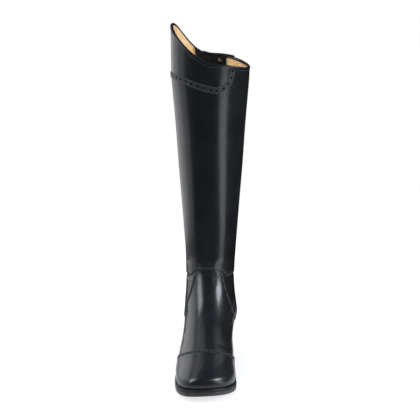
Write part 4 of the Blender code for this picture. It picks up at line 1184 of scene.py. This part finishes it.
# Soft boxes: azimuth from the camera's own, height, distance, width and height of each, the turn
# of its top towards the camera, power, colour, and whether the gloss shows it
COOL = (0.90, 0.94, 1.0)
PALE = (0.97, 0.98, 1.0)
SoftBox = namedtuple("SoftBox", "name azimuth z away width tall roll power colour mirrored",
                     defaults=(PALE, True))
SOFT_BOXES = [SoftBox(*row) for row in (
    ("shaft_strip", 46, 0.19, 0.55, 0.20, 0.56, 34, 0.85, COOL),
    ("right_box", 77, 1.15, 1.90, 1.10, 0.80, 0, 34, COOL),
    ("left_box", -76, 1.70, 1.90, 1.05, 2, 30, 42, COOL),
    ("outer_side_panel", -140, 1.10, 1.90, 1.60, 2.20, 0, 2.7),
    ("outer_high_panel", -140, 3, 1.90, 1.60, 1.50, 0, 4),
    ("outer_edge_strip", -168, 0.20, 0.60, 0.45, 0.60, 0, 0.6),
    ("outer_front_strip", -126, 0.20, 0.60, 0.45, 0.60, 0, 0.9),
    ("outer_fade_strip", -92, 0.20, 0.60, 0.40, 0.60, 0, 0.60),
    ("inner_back_panel", 136, 1.80, 1.90, 0.70, 1, 0, 1.3),
    ("front_fill", 0, 1.20, 2.60, 1.50, 1.50, 0, 42, COOL, False),
    ("top_box", 180, 2.30, 0.60, 1.20, 1.20, 0, 26, PALE, False),
)]
LIGHT_AIM = Vector((0.0, -0.04, 0.2))


def build_lights():
    for box in SOFT_BOXES:
        lamp = bpy.data.lights.new(box.name, "AREA")
        lamp.shape = "RECTANGLE"
        lamp.size, lamp.size_y = box.width, box.tall
        lamp.energy = box.power
        lamp.color = box.colour
        light = add_object(box.name, lamp)
        turn = CAMERA_AZIMUTH + math.radians(box.azimuth)
        light.location = (box.away * math.sin(turn), -box.away * math.cos(turn), box.z)
        light.visible_camera = False
        light.visible_glossy = box.mirrored
        aim = LIGHT_AIM - light.location
        rolled_over = Quaternion((0.0, 0.0, 1.0), math.radians(box.roll))
        light.rotation_euler = (aim.to_track_quat("-Z", "Y") @ rolled_over).to_euler()


def build_world():
    """Dim grey room for the gloss, with a pale backdrop where the camera looks past the floor."""
    world = bpy.data.worlds.new("studio")
    world.use_nodes = True
    tree = world.node_tree
    room = tree.nodes["Background"]
    room.inputs["Color"].default_value = (WORLD_GREY, WORLD_GREY, WORLD_GREY, 1.0)
    pale = node(tree, "Background", {"Color": (BACKDROP, BACKDROP, BACKDROP, 1.0)})
    camera_sees(tree, pale, room, "World Output")
    bpy.context.scene.world = world


def build_camera():
    data = bpy.data.cameras.new("camera")
    data.sensor_width = SENSOR_MM
    data.lens = FOCAL_PX / FRAME_PX * SENSOR_MM
    camera = add_object("camera", data)
    camera.location = (CAMERA_AWAY * math.sin(CAMERA_AZIMUTH), -CAMERA_AWAY * math.cos(CAMERA_AZIMUTH),
                       CAMERA_HEIGHT)
    toward = Vector((AIM_X, 0.0, 0.0)) - camera.location
    level = Vector((toward.x, toward.y, 0.0)).normalized()
    aim = level * math.cos(CAMERA_DOWN) - Vector((0.0, 0.0, math.sin(CAMERA_DOWN)))
    camera.rotation_euler = aim.to_track_quat("-Z", "Y").to_euler()
    bpy.context.scene.camera = camera
    bpy.context.scene.view_settings.view_transform = "Standard"


build_camera()
build_world()
build_lights()
build_floor()
build_shaft()
build_vamp()
build_lining()
quarter_grid = build_quarter()
cap_edge_track = build_toe_cap()
collar_track = build_collar_band()
build_binding()
build_back()
build_teeth()
build_sole()
build_heel()
build_stitches(quarter_grid, cap_edge_track, collar_track)
build_snap()
build_metal()
